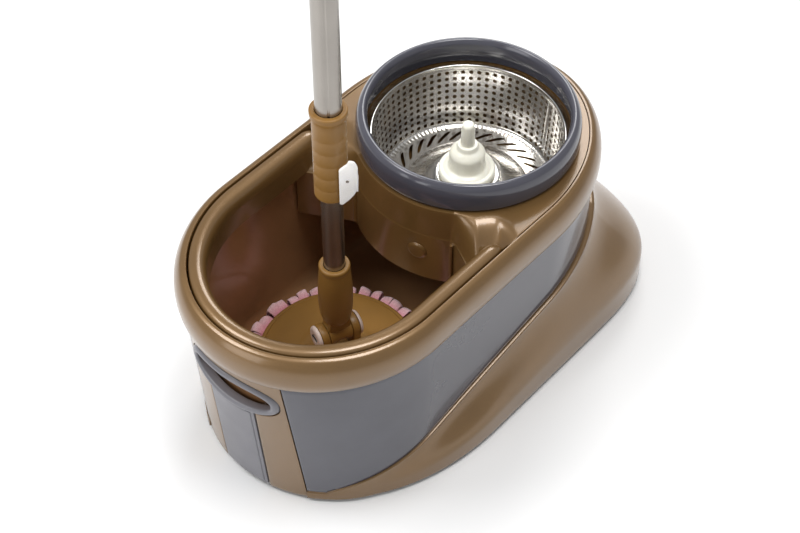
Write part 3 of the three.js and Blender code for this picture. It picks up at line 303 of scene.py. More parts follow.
# ------------------------------------------------------------------ meshes
class Build:
    """Vertices and faces of one piece, put together from simple surfaces."""

    def __init__(self):
        self.points = []
        self.faces = []

    def grid(self, rows, wrap_rows=False, wrap_columns=False, caps=False):
        """Quads between rows of points. Caps close the two end rows with one face each."""
        start = len(self.points)
        count = len(rows[0])
        for row in rows:
            self.points.extend(tuple(p) for p in row)
        for i in range(len(rows) if wrap_rows else len(rows) - 1):
            k = (i + 1) % len(rows)
            for j in range(count if wrap_columns else count - 1):
                m = (j + 1) % count
                quad = [
                    start + i * count + j, start + i * count + m, start + k * count + m,
                    start + k * count + j,
                ]
                self.faces.append(quad)
        if caps:
            last = start + (len(rows) - 1) * count
            self.faces.append([start + j for j in range(count)])
            self.faces.append([last + j for j in range(count)])
        return self

    def turned(self, profile, centre=(0, 0), facets=96, closed=True):
        """A profile of (radius, height) turned round an upright line. Points on the line meet."""
        rows = []
        for i in range(facets):
            a = 2 * math.pi * i / facets
            rows.append([(centre[0] + r * math.sin(a), centre[1] - r * math.cos(a), z) for r, z in profile])
        return self.grid(rows, wrap_rows=True, wrap_columns=closed)

    def extruded(self, outline, place, near, far):
        """An outline between two depths. place(across, up, depth) gives a point."""
        rows = [[place(u, z, d) for u, z in outline] for d in (near, far)]
        return self.grid(rows, wrap_columns=True, caps=True)

    def shell(self, rows, thickness, centre, wrap=False):
        """A surface given thickness towards a centre, closed round its border."""
        p = np.array(rows, float)
        along = np.roll(p, -1, 0) - np.roll(p, 1, 0) if wrap else np.gradient(p, axis=0)
        normal = np.cross(along, np.gradient(p, axis=1))
        normal /= np.linalg.norm(normal, axis=2, keepdims=True) + 1e-12
        if (normal * (p - np.array(centre))).sum(2).mean() < 0:
            normal = -normal
        inner = p - normal * thickness
        if wrap:
            return self.grid(
                [list(a) + list(b[::-1]) for a, b in zip(p, inner)], wrap_rows=True, wrap_columns=True,
            )
        loops = [list(a) + list(b[::-1]) for a, b in zip(p, inner)]
        self.grid(loops, wrap_columns=True)
        count = p.shape[1]
        start = len(self.points) - len(loops) * 2 * count
        for first in (start, start + (len(loops) - 1) * 2 * count):
            for j in range(count - 1):
                self.faces.append(
                    [first + j, first + j + 1, first + 2 * count - 2 - j, first + 2 * count - 1 - j]
                )
        return self

    def moved(self, change):
        """Moves the points made so far."""
        self.points = [tuple(change(*p)) for p in self.points]
        return self

    def piece(self, name, body, slot, replaces=(), look=None, bevel=0, smooth=38, solid=0):
        """Makes the Blender object, rounds its edges and lets it ride on its body."""
        mesh = bpy.data.meshes.new(name)
        work = bmesh.new()
        vertices = [work.verts.new(p) for p in self.points]
        for face in self.faces:
            try:
                work.faces.new([vertices[i] for i in face])
            except ValueError:
                continue  # the same face twice, where two borders meet
        bmesh.ops.remove_doubles(work, verts=work.verts, dist=2e-6)
        bmesh.ops.recalc_face_normals(work, faces=work.faces)
        work.to_mesh(mesh)
        work.free()
        made = bpy.data.objects.new(name, mesh)
        bpy.context.scene.collection.objects.link(made)
        if solid:
            thick = made.modifiers.new("Sheet", "SOLIDIFY")
            thick.thickness = solid
            thick.offset = 0
        if bevel:
            edge = made.modifiers.new("Edges", "BEVEL")
            edge.width = bevel
            edge.segments = 2
            edge.angle_limit = math.radians(42)
            edge.use_clamp_overlap = True
        if made.modifiers:
            dg = bpy.context.evaluated_depsgraph_get()
            applied = bpy.data.meshes.new_from_object(made.evaluated_get(dg))
            made.modifiers.clear()
            made.data = applied
            made.data.name = name
        made.data.shade_smooth()
        made.data.set_sharp_from_angle(angle=math.radians(smooth))
        made.data.materials.clear()
        made.data.materials.append(FINISHES[look or slot])
        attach(made, body)
        if replaces:
            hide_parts(*replaces)
        return made


# ------------------------------------------------------------------ materials
def node(tree, kind, inputs=None, **settings):
    """Adds one shader node with its settings, values and links."""
    made = tree.nodes.new(kind)
    for key, value in settings.items():
        setattr(made, key, value)
    for key, value in (inputs or {}).items():
        if isinstance(value, bpy.types.NodeSocket):
            tree.links.new(value, made.inputs[key])
        else:
            made.inputs[key].default_value = value
    return made


def finish(name, build, **constants):
    """A material with one Principled shader. build(tree) gives the linked sockets."""
    material = bpy.data.materials.new(name)
    material.use_nodes = True
    tree = material.node_tree
    tree.nodes.clear()
    inputs = {key.replace("_", " "): value for key, value in constants.items()}
    inputs.update(build(tree))
    shader = node(tree, "ShaderNodeBsdfPrincipled", inputs)
    node(tree, "ShaderNodeOutputMaterial", {"Surface": shader.outputs[0]})
    return material


def rgba(colour, gain=1.0):
    """A colour with its alpha, made lighter or darker by a gain."""
    return (*[min(1.0, c * gain) for c in colour], 1.0)


def place_on(tree, scale=(1, 1, 1)):
    """Coordinates in metres on the piece, stretched by a scale."""
    at = node(tree, "ShaderNodeTexCoord").outputs["Object"]
    return node(tree, "ShaderNodeMapping", {"Vector": at, "Scale": scale}).outputs[0]


def speckle(tree, size, scale=(1, 1, 1), detail=3.0):
    """Noise whose grains are about size metres across."""
    made = node(
        tree, "ShaderNodeTexNoise", {"Vector": place_on(tree, scale), "Scale": 1 / size, "Detail": detail}
    )
    return made.outputs["Fac"]


def shades(tree, value, dark, light, low=0.3, high=0.7):
    """A colour between two as a value goes from low to high."""
    ramp = node(tree, "ShaderNodeValToRGB", {"Fac": value})
    ramp.color_ramp.elements[0].position = low
    ramp.color_ramp.elements[0].color = dark
    ramp.color_ramp.elements[1].position = high
    ramp.color_ramp.elements[1].color = light
    return ramp.outputs[0]


def spread(tree, value, low, high):
    """A number between low and high as a value goes from 0 to 1."""
    return node(tree, "ShaderNodeMapRange", {"Value": value, "To Min": low, "To Max": high}).outputs[0]


def relief(tree, height, depth, strength=0.4):
    """A surface bump of a depth in metres."""
    return node(
        tree, "ShaderNodeBump", {"Height": height, "Distance": depth, "Strength": strength},
    ).outputs[0]


def pearl_abs(name, colour, gain=1.0):
    """ABS moulded with pearl pigment: fine flakes glitter in a smooth, softly glossy skin."""

    def build(tree):
        flake = node(
            tree, "ShaderNodeTexVoronoi", {"Vector": place_on(tree), "Scale": 1 / (0.7 * MM)}
        ).outputs["Color"]
        flow = speckle(tree, 60 * MM)
        base = shades(tree, flow, rgba(colour, 0.93 * gain), rgba(colour, 1.06 * gain))
        grey = node(tree, "ShaderNodeRGBToBW", {"Color": flake}).outputs[0]
        glitter = shades(tree, grey, rgba((0.94,) * 3), rgba((1.0,) * 3), 0.2, 0.9)
        mixed = node(
            tree, "ShaderNodeMixRGB", {"Fac": 1.0, "Color1": base, "Color2": glitter}, blend_type="MULTIPLY"
        ).outputs[0]
        skin = speckle(tree, 9 * MM)  # slow waves that the mould's polish leaves
        return {
            "Base Color": mixed,
            "Roughness": spread(tree, grey, 0.3, 0.37),
            "Normal": relief(tree, skin, 0.15 * MM, 0.12),
        }

    return finish(
        name, build, Metallic=0.35, IOR=1.53, Coat_Weight=0.7, Coat_Roughness=0.14, Coat_IOR=1.5
    )


def gloss_abs(name, colour):
    """High-gloss ABS from a polished mould: mirror-like highlights with a trace of waviness."""

    def build(tree):
        flow = speckle(tree, 40 * MM)
        scuff = speckle(tree, 1.1 * MM, detail=6)
        return {
            "Base Color": shades(tree, flow, rgba(colour, 0.94), rgba(colour, 1.05)),
            "Roughness": spread(tree, scuff, 0.1, 0.2),
            "Normal": relief(tree, speckle(tree, 14 * MM), 0.2 * MM, 0.1),
        }

    return finish(name, build, IOR=1.5, Coat_Weight=0.3, Coat_Roughness=0.06, Coat_IOR=1.45)


def satin_moulding(name, colour, rough=0.42, grain=0.35, depth=0.03, ior=1.49):
    """Polypropylene or nylon from a spark-eroded mould: a fine grain breaks up the highlight."""

    def build(tree):
        fine = speckle(tree, grain * MM, detail=2)
        flow = speckle(tree, 25 * MM)
        return {
            "Base Color": shades(tree, flow, rgba(colour, 0.93), rgba(colour, 1.06)),
            "Roughness": spread(tree, fine, rough - 0.06, rough + 0.08),
            "Normal": relief(tree, fine, depth * MM, 0.5),
        }

    return finish(name, build, IOR=ior)


def milky_acetal(name, colour):
    """Natural acetal: light sinks in a little, so edges glow and shadows stay soft."""

    def build(tree):
        flow = speckle(tree, 12 * MM)
        return {
            "Base Color": shades(tree, flow, rgba(colour, 0.96), rgba(colour, 1.02)),
            "Roughness": spread(tree, speckle(tree, 0.8 * MM), 0.22, 0.32),
            "Normal": relief(tree, speckle(tree, 5 * MM), 0.08 * MM, 0.15),
        }

    return finish(
        name,
        build,
        IOR=1.48,
        Subsurface_Weight=0.3,
        Subsurface_Radius=(0.9, 0.85, 0.7),
        Subsurface_Scale=3 * MM,
    )


def moulded_rubber(name, colour):
    """Moulded rubber: dull, with a dusty, slightly pitted skin."""

    def build(tree):
        pits = speckle(tree, 0.6 * MM, detail=5)
        return {
            "Base Color": shades(tree, speckle(tree, 6 * MM), rgba(colour, 0.8), rgba(colour, 1.5)),
            "Roughness": spread(tree, pits, 0.72, 0.9),
            "Normal": relief(tree, pits, 0.05 * MM, 0.5),
        }

    return finish(name, build, IOR=1.52)


def drawn_steel(name, colour):
    """Stainless tube, linished round its girth: the fine lines stretch each highlight upwards."""

    def build(tree):
        lines = speckle(tree, 0.8 * MM, (0.05, 0.05, 1), detail=4)
        stain = speckle(tree, 30 * MM)
        return {
            "Base Color": shades(tree, stain, rgba(colour, 0.94), rgba(colour, 1.03)),
            "Roughness": spread(tree, lines, 0.18, 0.28),
            "Normal": relief(tree, lines, 0.01 * MM, 0.2),
        }

    return finish(name, build, Metallic=1.0, Anisotropic=0.85, Anisotropic_Rotation=0.25)


def spun_steel(name, colour, centre):
    """Polished stainless sheet, pressed and spun: faint rings run round the basket's axis."""

    def build(tree):
        at = node(tree, "ShaderNodeTexCoord").outputs["Object"]
        moved = node(tree, "ShaderNodeVectorMath", {0: at, 1: tuple(-c for c in centre)}).outputs[0]
        parts = node(tree, "ShaderNodeSeparateXYZ", {0: moved}).outputs
        flat = node(tree, "ShaderNodeCombineXYZ", {"X": parts["X"], "Y": parts["Y"]}).outputs[0]
        reach = node(tree, "ShaderNodeVectorMath", {0: flat}, operation="LENGTH").outputs["Value"]
        ring = node(tree, "ShaderNodeCombineXYZ", {"X": reach, "Y": parts["Z"]}).outputs[0]
        rings = node(
            tree, "ShaderNodeTexNoise", {"Vector": ring, "Scale": 1 / (0.9 * MM), "Detail": 3},
        ).outputs[0]
        dent = speckle(tree, 22 * MM)
        both = node(tree, "ShaderNodeMath", {0: rings, 1: dent}, operation="ADD").outputs[0]
        return {
            "Base Color": shades(tree, dent, rgba(colour, 0.9), rgba(colour, 1.04)),
            "Roughness": spread(tree, rings, 0.12, 0.24),
            "Normal": relief(tree, both, 0.12 * MM, 0.35),
        }

    return finish(name, build, Metallic=1.0)


def knitted_microfibre(name, colour, deep):
    """Knitted microfibre strip: rows of tiny loops, paler where the pile catches the light as a painted
    highlight, with painted shade deeper in the pile.
    """

    def build(tree):
        # painted shade: pink at the strips' outer ends, darker pink deeper in the pile
        painted_shade = node(tree, "ShaderNodeAttribute", attribute_name="painted_shade").outputs["Fac"]
        ground = shades(tree, painted_shade, rgba(colour), rgba(deep), 0.15, 0.95)
        loops = node(
            tree,
            "ShaderNodeTexVoronoi",
            {"Vector": place_on(tree), "Scale": 1 / (1.6 * MM), "Randomness": 0.55},
        ).outputs["Distance"]  # real loops are 0.6 mm, too fine to show, so they are drawn at 1.6 mm
        # painted highlight on each loop's middle and painted shade between the loops
        knit = shades(tree, loops, rgba((1.0,) * 3), rgba((0.78, 0.66, 0.68)), 0.2, 0.75)
        mixed = node(
            tree, "ShaderNodeMixRGB", {"Fac": 0.8, "Color1": ground, "Color2": knit}, blend_type="MULTIPLY"
        ).outputs[0]
        raised = node(tree, "ShaderNodeMath", {0: 1.0, 1: loops}, operation="SUBTRACT").outputs[0]
        return {"Base Color": mixed, "Normal": relief(tree, raised, 0.6 * MM, 0.7)}

    return finish(name, build, Roughness=0.95, Sheen_Weight=0.5, Sheen_Roughness=0.4, IOR=1.45)


def make_finishes():
    """One material for each real material and process, with the colours of the settings."""
    c = bpy.context.scene.spin_mop_colours
    return {
        "bronze_plastic": pearl_abs("Pearl bronze ABS, moulded", c.bronze),
        # the tub's lighter, redder bronze is painted light, not a different finish
        "tub_painted_light_plastic": pearl_abs("Pearl bronze ABS, tub, lightened as painted light", c.tub),
        "slate_plastic": gloss_abs("Slate ABS, polished mould", c.slate),
        "grey_plastic": satin_moulding("Grey polypropylene, satin mould", c.grey, rough=0.36),
        "ochre_plastic": satin_moulding("Ochre polypropylene, satin mould", c.ochre, rough=0.4),
        "milk_plastic": milky_acetal("Natural acetal, moulded", c.milk),
        "white_plastic": milky_acetal("White acetal, moulded", c.white),
        "cream_plastic": satin_moulding("Cream nylon, moulded", c.cream, rough=0.45, ior=1.53),
        "black_plastic": satin_moulding("Black polypropylene, textured mould", c.black, rough=0.5),
        "rubber": moulded_rubber("Black rubber, moulded", c.rubber),
        # the tube's darker steel is painted shade and the basket's lighter steel a painted highlight
        "stainless_steel": drawn_steel("Stainless tube, linished", c.steel),
        "basket_steel": spun_steel("Stainless sheet, pressed and polished", c.sheet, AXIS),
        # the microfibre's darker pink is painted shade deep in the pile
        "microfibre": knitted_microfibre("Microfibre strip, knitted", c.pink, c.painted_shade_pink),
    }


FINISHES = {}


# ------------------------------------------------------------------ the bucket's plan
def station(b, s):
    """Point and outward normal of the rim's plan. s runs 0 to 4 from the front to the right."""
    s = s % 4
    side = 1
    if s > 2:
        s = 4 - s
        side = -1
    if s < 0.8:
        a = math.pi / 2 * s / 0.8
        x, y = b.rim_half * math.sin(a), b.front_centre - b.front_reach * math.cos(a)
        nx, ny = math.sin(a) / b.rim_half, -math.cos(a) / b.front_reach
    elif s < 1.2:
        x, y = b.rim_half, mix(b.front_centre, b.rear_centre, (s - 0.8) / 0.4)
        nx, ny = 1.0, 0.0
    else:
        a = math.pi / 2 * (s - 1.2) / 0.8
        x, y = b.rim_half * math.cos(a), b.rear_centre + b.rear_reach * math.sin(a)
        nx, ny = math.cos(a) / b.rim_half, math.sin(a) / b.rear_reach
    n = math.hypot(nx, ny)
    return side * x, y, side * nx / n, ny / n


def beside(b, s, u, z):
    """The point a distance u outside the rim's plan, in the row frame."""
    x, y, nx, ny = station(b, s)
    return (x + nx * u, y + ny * u + AXIS.y, z)


def skin_at(b, s, z):
    """Where the skin's outer face stands from the rim's plan."""
    ny = station(b, s)[3]
    taper = mix(b.side_taper, b.front_taper if ny < 0 else b.rear_taper, ny * ny)
    return -b.skin_set - taper * (RIM_LOW.z - z) / RIM_LOW.z


def tub_at(b, s, z):
    """Where the tub's outer face stands from the rim's plan."""
    ny = station(b, s)[3]
    taper = mix(b.side_taper, b.front_taper, ny * ny) if ny < 0 else b.side_taper
    return -b.tub_set - taper * (TUB_TOP - z) / RIM_LOW.z


def base_out(b, s):
    """How far the base's plan stands outside the rim's."""
    x, y, nx, ny = station(b, s)

    def outside(u):
        px, py = x + nx * u, y + ny * u
        if py < b.base_front_centre:
            reach, centre, power = b.base_front_reach, b.base_front_centre, 2.15
        else:
            reach, centre, power = b.base_rear_reach, b.base_rear_centre, 3.3
        across = abs(px) / b.base_half
        if b.base_front_centre <= py <= b.base_rear_centre:
            return across - 1
        return across**power + (abs(py - centre) / reach) ** power - 1

    return solve(outside, -0.06, 0.12)


def sweep_top(b, y):
    """Height of the sweep's edge, from the place along the bucket."""
    t = clamp((y - b.sweep_front_y) / (b.sweep_rear_y - b.sweep_front_y))
    return mix(b.sweep_front_z, b.sweep_rear_z, t**0.73)


def fascia_half(b, z):
    """Half the fascia's width at a height."""
    return mix(b.fascia_foot, b.fascia_top, z / RIM_HIGH.z)


def front_cut(b, point_at, seam):
    """Station right of the front fascia, where point_at(s) meets its edge."""

    def over(s):
        x, _, z = point_at(s)
        return x - fascia_half(b, z) - seam

    return solve(over, 0.05, 0.8)


def rear_cut(b, point_at, seam):
    """Station right of the rear fascia, where point_at(s) meets its edge."""

    def over(s):
        x, _, z = point_at(s)
        return fascia_half(b, z) + seam - x

    return solve(over, 1.2, 2.0)


def mirrored(rows):
    """The same rows of points on the other side of the bucket."""
    return [[(-x, y, z) for x, y, z in row] for row in rows]


# ------------------------------------------------------------------ the bucket's mouldings
def around(count, start=0.0, end=4.0, closed=True):
    """Even stations along the rim's plan."""
    return [mix(start, end, i / (count if closed else count - 1)) for i in range(count)]


def make_tub(b):
    """The water tub: one wall with rounded feet, a flange for the skins, and a floor."""
    foot = b.tub_floor - 3 * MM
    corner = [k / 8 for k in range(9)]

    def ring(u_of, z):
        return [beside(b, s, u_of(s), z) for s in around(220)]

    rings = []
    for z in (foot, 80 * MM, TUB_FLANGE - 3 * MM):
        rings.append(ring(lambda s, z=z: tub_at(b, s, z), z))
    for z in (TUB_FLANGE, TUB_FLANGE + 3 * MM):
        rings.append(ring(lambda s: skin_at(b, s, TUB_FLANGE) - 1.2 * b.wall, z))
    for z in (TUB_FLANGE + 3 * MM, TUB_TOP):
        rings.append(ring(lambda s, z=z: tub_at(b, s, z), z))
    heights = [TUB_TOP, 170 * MM, 130 * MM, 90 * MM, b.tub_floor + b.tub_corner]
    for z in heights:
        rings.append(ring(lambda s, z=z: tub_at(b, s, z) - b.wall, z))
    for k in corner[1:]:
        a = k * math.pi / 2
        z = b.tub_floor + b.tub_corner * (1 - math.sin(a))
        inset = b.tub_corner * (1 - math.cos(a))
        rings.append(ring(lambda s, z=z, inset=inset: tub_at(b, s, z) - b.wall - inset, z))
    for inset in (0.04, 0.07):
        rings.append(ring(lambda s, inset=inset: tub_at(b, s, b.tub_floor) - inset, b.tub_floor))
    made = Build().grid(rings, wrap_columns=True, caps=True)
    # the tub wears the lightened copy of the bronze: painted light
    made.piece("tub", "bucket", "bronze_plastic", ["bucket_tub"], look="tub_painted_light_plastic", smooth=50)


def make_rim(b):
    """The rounded rim band that covers the tops of all the skins."""
    outside = through(
        [(-4, 0), (-0.6, 3.5), (1.4, 9.5), (2, 17), (1.2, 26), (-1.4, 33), (-5.4, 38.4), (-9.2, 40.2)],
        5,
    )
    inner = -b.rim_inner / MM
    edge = fillet(
        [(inner + 0.6, 40.0, 0.8), (inner, 39.2, 0.8), (inner, 21.7), (inner + 2.6, 21.7)], 4, False,
    )
    under = [(inner + 2.6, 35), (-5.5, 31), (-1.2, 17), (-6.5, 3.4), (-6.5, 0.5), (-4.6, 0)]
    section = [(u * MM, RIM_LOW.z + z * MM) for u, z in [*outside, *edge, *under]]
    rows = [[beside(b, s, u, z) for u, z in section] for s in around(260)]
    made = Build().grid(rows, wrap_rows=True, wrap_columns=True)
    made.piece("rim", "bucket", "bronze_plastic", ["rim_band"], smooth=40)


def skin_rows(b, columns, rows, first, last, low):
    """Points of a skin between two stations that change with height, above a lower edge."""
    top = RIM_LOW.z - 0.5 * MM
    made = []
    for i in range(columns + 1):
        line = []
        for j in range(rows + 1):
            z = mix(low(1.0), top, j / rows)
            s = 1.0
            for _ in range(5):
                s = mix(first(z), last(z), i / columns)
                z = mix(low(s), top, j / rows)
            line.append(beside(b, s, skin_at(b, s, z), z))
        made.append(line)
    return made


def sampled(f, low, high, count=24):
    """A slow function read once at even steps, and then by straight lines between them."""
    xs = np.linspace(low, high, count)
    ys = np.array([f(x) for x in xs])
    return lambda x: float(np.interp(x, xs, ys))


def make_side_panels(b):
    """The two glossy side panels, each bounded by the fascias and the sweep."""
    front = sampled(
        lambda z: front_cut(b, lambda s: beside(b, s, skin_at(b, s, z), z), b.seam / 2), 0, RIM_LOW.z
    )
    rear = sampled(
        lambda z: rear_cut(b, lambda s: beside(b, s, skin_at(b, s, z), z), b.seam / 2), 0, RIM_LOW.z
    )
    rows = skin_rows(b, 110, 26, front, rear, lambda s: sweep_top(b, station(b, s)[1]) + 0.4 * MM)
    centre = (0, middle("rim_band").y, 0.1)
    for side, surface in (("right", rows), ("left", mirrored(rows))):
        made = Build().shell(surface, b.wall, centre)
        made.piece(
            "panel_" + side, "bucket", "slate_plastic", ["side_panel_" + side], bevel=0.5 * MM
        )
    tail = skin_rows(
        b,
        36,
        14,
        sampled(
            lambda z: rear_cut(b, lambda s: beside(b, s, skin_at(b, s, z), z), -b.seam / 2),
            0,
            RIM_LOW.z,
        ),
        lambda z: 2.0,
        lambda s: sweep_top(b, station(b, s)[1]) + 0.4 * MM,
    )
    tail = tail + mirrored(tail)[-2::-1]
    made = Build().shell(tail, b.wall, centre)
    made.piece("tail_fascia", "bucket", "bronze_plastic", ["rear_fascia"], bevel=0.5 * MM)


def oval(b, grow, a):
    """A point of the handle's rounded oval, a in radians."""
    c, s = math.cos(a), math.sin(a)
    x = math.copysign(abs(c) ** 0.8, c) * (b.grip_half + grow)
    z = b.grip_z + math.copysign(abs(s) ** 0.8, s) * (b.grip_height / 2 + grow)
    return x, z


def tongue_half(b, z):
    """Half the handle plate's width at a height."""
    return mix(b.tongue_foot, b.tongue_top, z / b.grip_z)


def on_front(b, x, z, proud=0.0):
    """The point of the front skin at a place across and a height."""
    s = solve(lambda t: beside(b, t, skin_at(b, t, z), z)[0] - abs(x), 0.0, 0.8)
    px, y, pz = beside(b, s, skin_at(b, s, z) + proud, z)
    return (math.copysign(px, x) if x else 0.0, y, pz)


def make_front_fascia(b):
    """The front fascia: an arch round the pull handle's recess."""
    gap = 1.3 * MM
    foot, top = b.skirt_foot, RIM_LOW.z - 0.5 * MM
    shoulder = 118 * MM  # where the edge of the outer column starts to follow the oval

    def meets(a):
        x, z = oval(b, gap, a)
        return x - tongue_half(b, z) - gap

    low_angle = solve(meets, -math.pi / 2, 0)
    knee = oval(b, gap, low_angle)
    inner, outer = [], []
    for i in range(30):
        z = mix(foot, knee[1], i / 30)
        inner.append((tongue_half(b, z) + gap, z))
        z = mix(foot, shoulder, i / 30)
        outer.append((fascia_half(b, z) - b.seam / 2, z))
    corner = math.radians(52)
    for i in range(40):
        inner.append(oval(b, gap, mix(low_angle, corner, i / 40)))
        z = mix(shoulder, top, i / 40)
        outer.append((fascia_half(b, z) - b.seam / 2, z))
    for i in range(31):
        inner.append(oval(b, gap, mix(corner, math.pi / 2, i / 30)))
        outer.append((mix(fascia_half(b, top) - b.seam / 2, 0, i / 30), top))
    across = 10
    rows = []
    for (x0, z0), (x1, z1) in zip(inner, outer):
        rows.append(
            [on_front(b, mix(x0, x1, k / across), mix(z0, z1, k / across)) for k in range(across + 1)]
        )
    rows = rows + mirrored(rows)[-2::-1]
    made = Build().shell(rows, b.wall, (0, AXIS.y, 0.1))
    made.piece(
        "front_arch", "bucket", "bronze_plastic", ["front_fascia"], bevel=0.5 * MM
    )


def skirt_section(b, s):
    """Outer line of the skirt at a station: the sweep, its rounded edge and the band."""
    top = sweep_top(b, station(b, s)[1])
    rise = clamp((top - b.sweep_front_z) / (b.sweep_rear_z - b.sweep_front_z))
    band = min(b.band_top, mix(b.skirt_foot + 4 * MM, b.band_top + 8 * MM, rise))
    u0 = skin_at(b, s, top) + mix(0.6, 5, rise) * MM
    u1 = max(base_out(b, s), u0 + 0.5 * MM)
    lip = min(2.2 * MM, (top - band) * 0.25)
    face = skin_at(b, s, top)
    line = [(face - 1.2 * MM, top), (mix(face, u0, 0.5) - 0.4 * lip, top), (u0 - 0.4 * lip, top - 0.02 * lip)]
    line.append((u0 + 0.1 * lip, top - 0.35 * lip))
    for k in range(1, 22):
        line.append((mix(u0, u1, ease(k / 22)), mix(top, band, k / 22)))
    below = band - b.skirt_foot
    for k in range(5):
        line.append((u1, band - below * 0.9 * k / 4))
    for k in range(1, 5):
        a = k / 4 * math.pi / 2
        line.append((u1 - 0.1 * below * (1 - math.cos(a)), b.skirt_foot + 0.1 * below * (1 - math.sin(a))))
    return line


def make_skirt(b):
    """One moulding round both sides and the tail, which hides the wheels."""
    columns = 240
    count = len(skirt_section(b, 1.0))

    def point(s, j):
        u, z = skirt_section(b, s)[j]
        return beside(b, s, u, z)

    starts = [front_cut(b, lambda s, j=j: point(s, j), b.seam / 2) for j in range(count)]
    rows = []
    for i in range(columns + 1):
        rows.append([point(mix(starts[j], 2.0, i / columns), j) for j in range(count)])
    rows = rows + mirrored(rows)[-2::-1]
    made = Build().shell(rows, b.wall * 0.9, (0, AXIS.y, -0.2))
    made.piece("skirt", "bucket", "bronze_plastic", ["base_skirt"], smooth=50)


def inside_rim(b, x, y, u):
    """Below zero inside the rim's plan grown by u, in the basket axis's own plan."""
    across = abs(x) / (b.rim_half + u)
    if b.front_centre <= y <= b.rear_centre:
        return across - 1
    front = y < b.front_centre
    reach = (b.front_reach if front else b.rear_reach) + u
    centre = b.front_centre if front else b.rear_centre
    return across**2 + ((y - centre) / reach) ** 2 - 1


def deck_edge(b, a):
    """Reach of the deck from the basket's axis, a degrees from the front."""
    side = abs(a)
    begin, end = 31, 43  # degrees where the side arms begin and meet the tub
    if side < begin:
        return b.deck_wall
    dx, dy = math.sin(math.radians(side)), -math.cos(math.radians(side))

    def reach(u):
        return solve(lambda r: inside_rim(b, dx * r, dy * r, u), 0.06, 0.42)

    taper = b.side_taper * (TUB_TOP - b.apron_foot) / RIM_LOW.z
    inset = -b.tub_set - taper - b.wall - 0.9 * MM
    if side < end:
        return mix(b.deck_wall, reach(inset), ((side - begin) / (end - begin)) ** 2.2)
    return reach(mix(inset, -b.rim_inner - 0.4 * MM, ease((side - 52) / 4)))


def make_deck(b):
    """The platform round the basket, its front wall, and the slopes down to the side arms."""
    angles = [-180 + 3 * i for i in range(40)]
    angles += [-60 + 0.75 * i for i in range(44)]
    angles += [-27 + 3 * i for i in range(19)]
    angles += [27.75 + 0.75 * i for i in range(43)]
    angles += [60 + 3 * i for i in range(40)]
    bore = 106.9 * MM
    web = 208.4 * MM  # underside of the deck's rear half
    rows = []
    for a in angles:
        side = abs(a)
        edge = deck_edge(b, a)
        low = mix(b.ledge, b.deck_top, ease((side - 43) / 15))
        foot = b.apron_foot if side <= 43 else min(low - b.wall - 0.5 * MM, max(low - 6 * MM, web))
        start = b.deck_wall - 3 * MM
        top = [(mix(start, edge, k / 16), mix(b.deck_top, low, ease(k / 16))) for k in range(17)]
        radius = min(4 * MM, (low - foot) * 0.45)
        line = [(bore, b.deck_top), *top[:-1], (*top[-1], radius), (edge, foot, 0.3 * MM)]
        under = [(r - b.wall, z - b.wall) for r, z in top[12:2:-3]]
        line += [
            (edge - b.wall, foot, 0.3 * MM), (edge - b.wall, low - b.wall), *under,
            (bore, b.deck_top - b.wall),
        ]
        s, c = math.sin(math.radians(a)), -math.cos(math.radians(a))
        rows.append([(AXIS.x + r * s, AXIS.y + r * c, z) for r, z in fillet(line, 5)])
    made = Build().grid(rows, wrap_rows=True, wrap_columns=True)
    made.piece("deck", "bucket", "bronze_plastic", ["deck_cover"], smooth=50)


def make_lip(b):
    """The insert's rounded bead round the washing zone. Both its ends are rounded off."""
    u0 = -b.rim_inner - b.groove
    base = 208 * MM  # height of the bead's section
    crown = through(
        [
            (0, 14), (-0.8, 17.6), (-4, 19.6), (-8.6, 20), (-13, 18.3), (-16.4, 13.5), (-17.5, 7),
            (-17.5, 0), (-17.5, -18),
        ],
        4,
    )
    section = [(0, 3), *crown, (-15, -18), (-15, 2), (-11, 12), (-4, 14), (-3, 3)]
    wide = b.lip_width / (17.5 * MM)
    end = 0.8 + 0.4 * (b.lip_end - b.front_centre) / (b.rear_centre - b.front_centre)
    reach = 0.045  # stations over which an end is rounded
    stops = [-end + reach * (1 - math.cos(k / 8 * math.pi / 2)) for k in range(8)]
    stops += [mix(-end + reach, end - reach, i / 150) for i in range(151)]
    stops += [end - reach * (1 - math.cos(k / 8 * math.pi / 2)) for k in range(7, -1, -1)]
    rows = []
    for s in stops:
        t = clamp((end - abs(s)) / reach)
        size = max(0.06, math.sqrt(1 - (1 - t) ** 2))
        line = []
        for u, z in section:
            u, z = mix(-8.7, u, size), mix(2, z, size)
            line.append(beside(b, s, u0 + u * MM * wide, base + z * MM))
        rows.append(line)
    made = Build().grid(rows, wrap_columns=True, caps=True)
    made.piece("insert_lip", "bucket", "bronze_plastic", smooth=50)


def on_apron(b, radius_out, x, z):
    """A point in front of the deck's round front wall."""
    a = math.asin(max(-1, min(1, x / b.deck_wall)))
    r = b.deck_wall + radius_out
    return (AXIS.x + r * math.sin(a), AXIS.y - r * math.cos(a), z)


def make_apron_details(b):
    """A plain soft boss on the deck's front wall, and a stiffening rib at each end of the wall."""
    profile = fillet(scaled([(0, -0.5), (10, -0.5), (10, 0.4, 0.3), (7.6, 2.2, 1.6), (0, 2.4)]), 5, False)
    boss = Build().turned(profile, facets=48, closed=False)
    boss.moved(lambda x, y, z: on_apron(b, z, 0.03 + x, 0.166 + y))
    boss.piece("apron_boss", "bucket", "bronze_plastic", smooth=60)
    bars = Build()
    for x in (-0.062, 0.062):
        outline = fillet(scaled([(-1.2, -0.5), (1.2, -0.5), (1.2, 3.4, 0.6), (-1.2, 3.4, 0.6)]), 3)
        rows = [[on_apron(b, d, x + w, z) for w, d in outline] for z in (0.134, 0.15, 0.17, 0.186)]
        bars.grid(rows, wrap_columns=True, caps=True)
    bars.piece("apron_ribs", "bucket", "bronze_plastic")


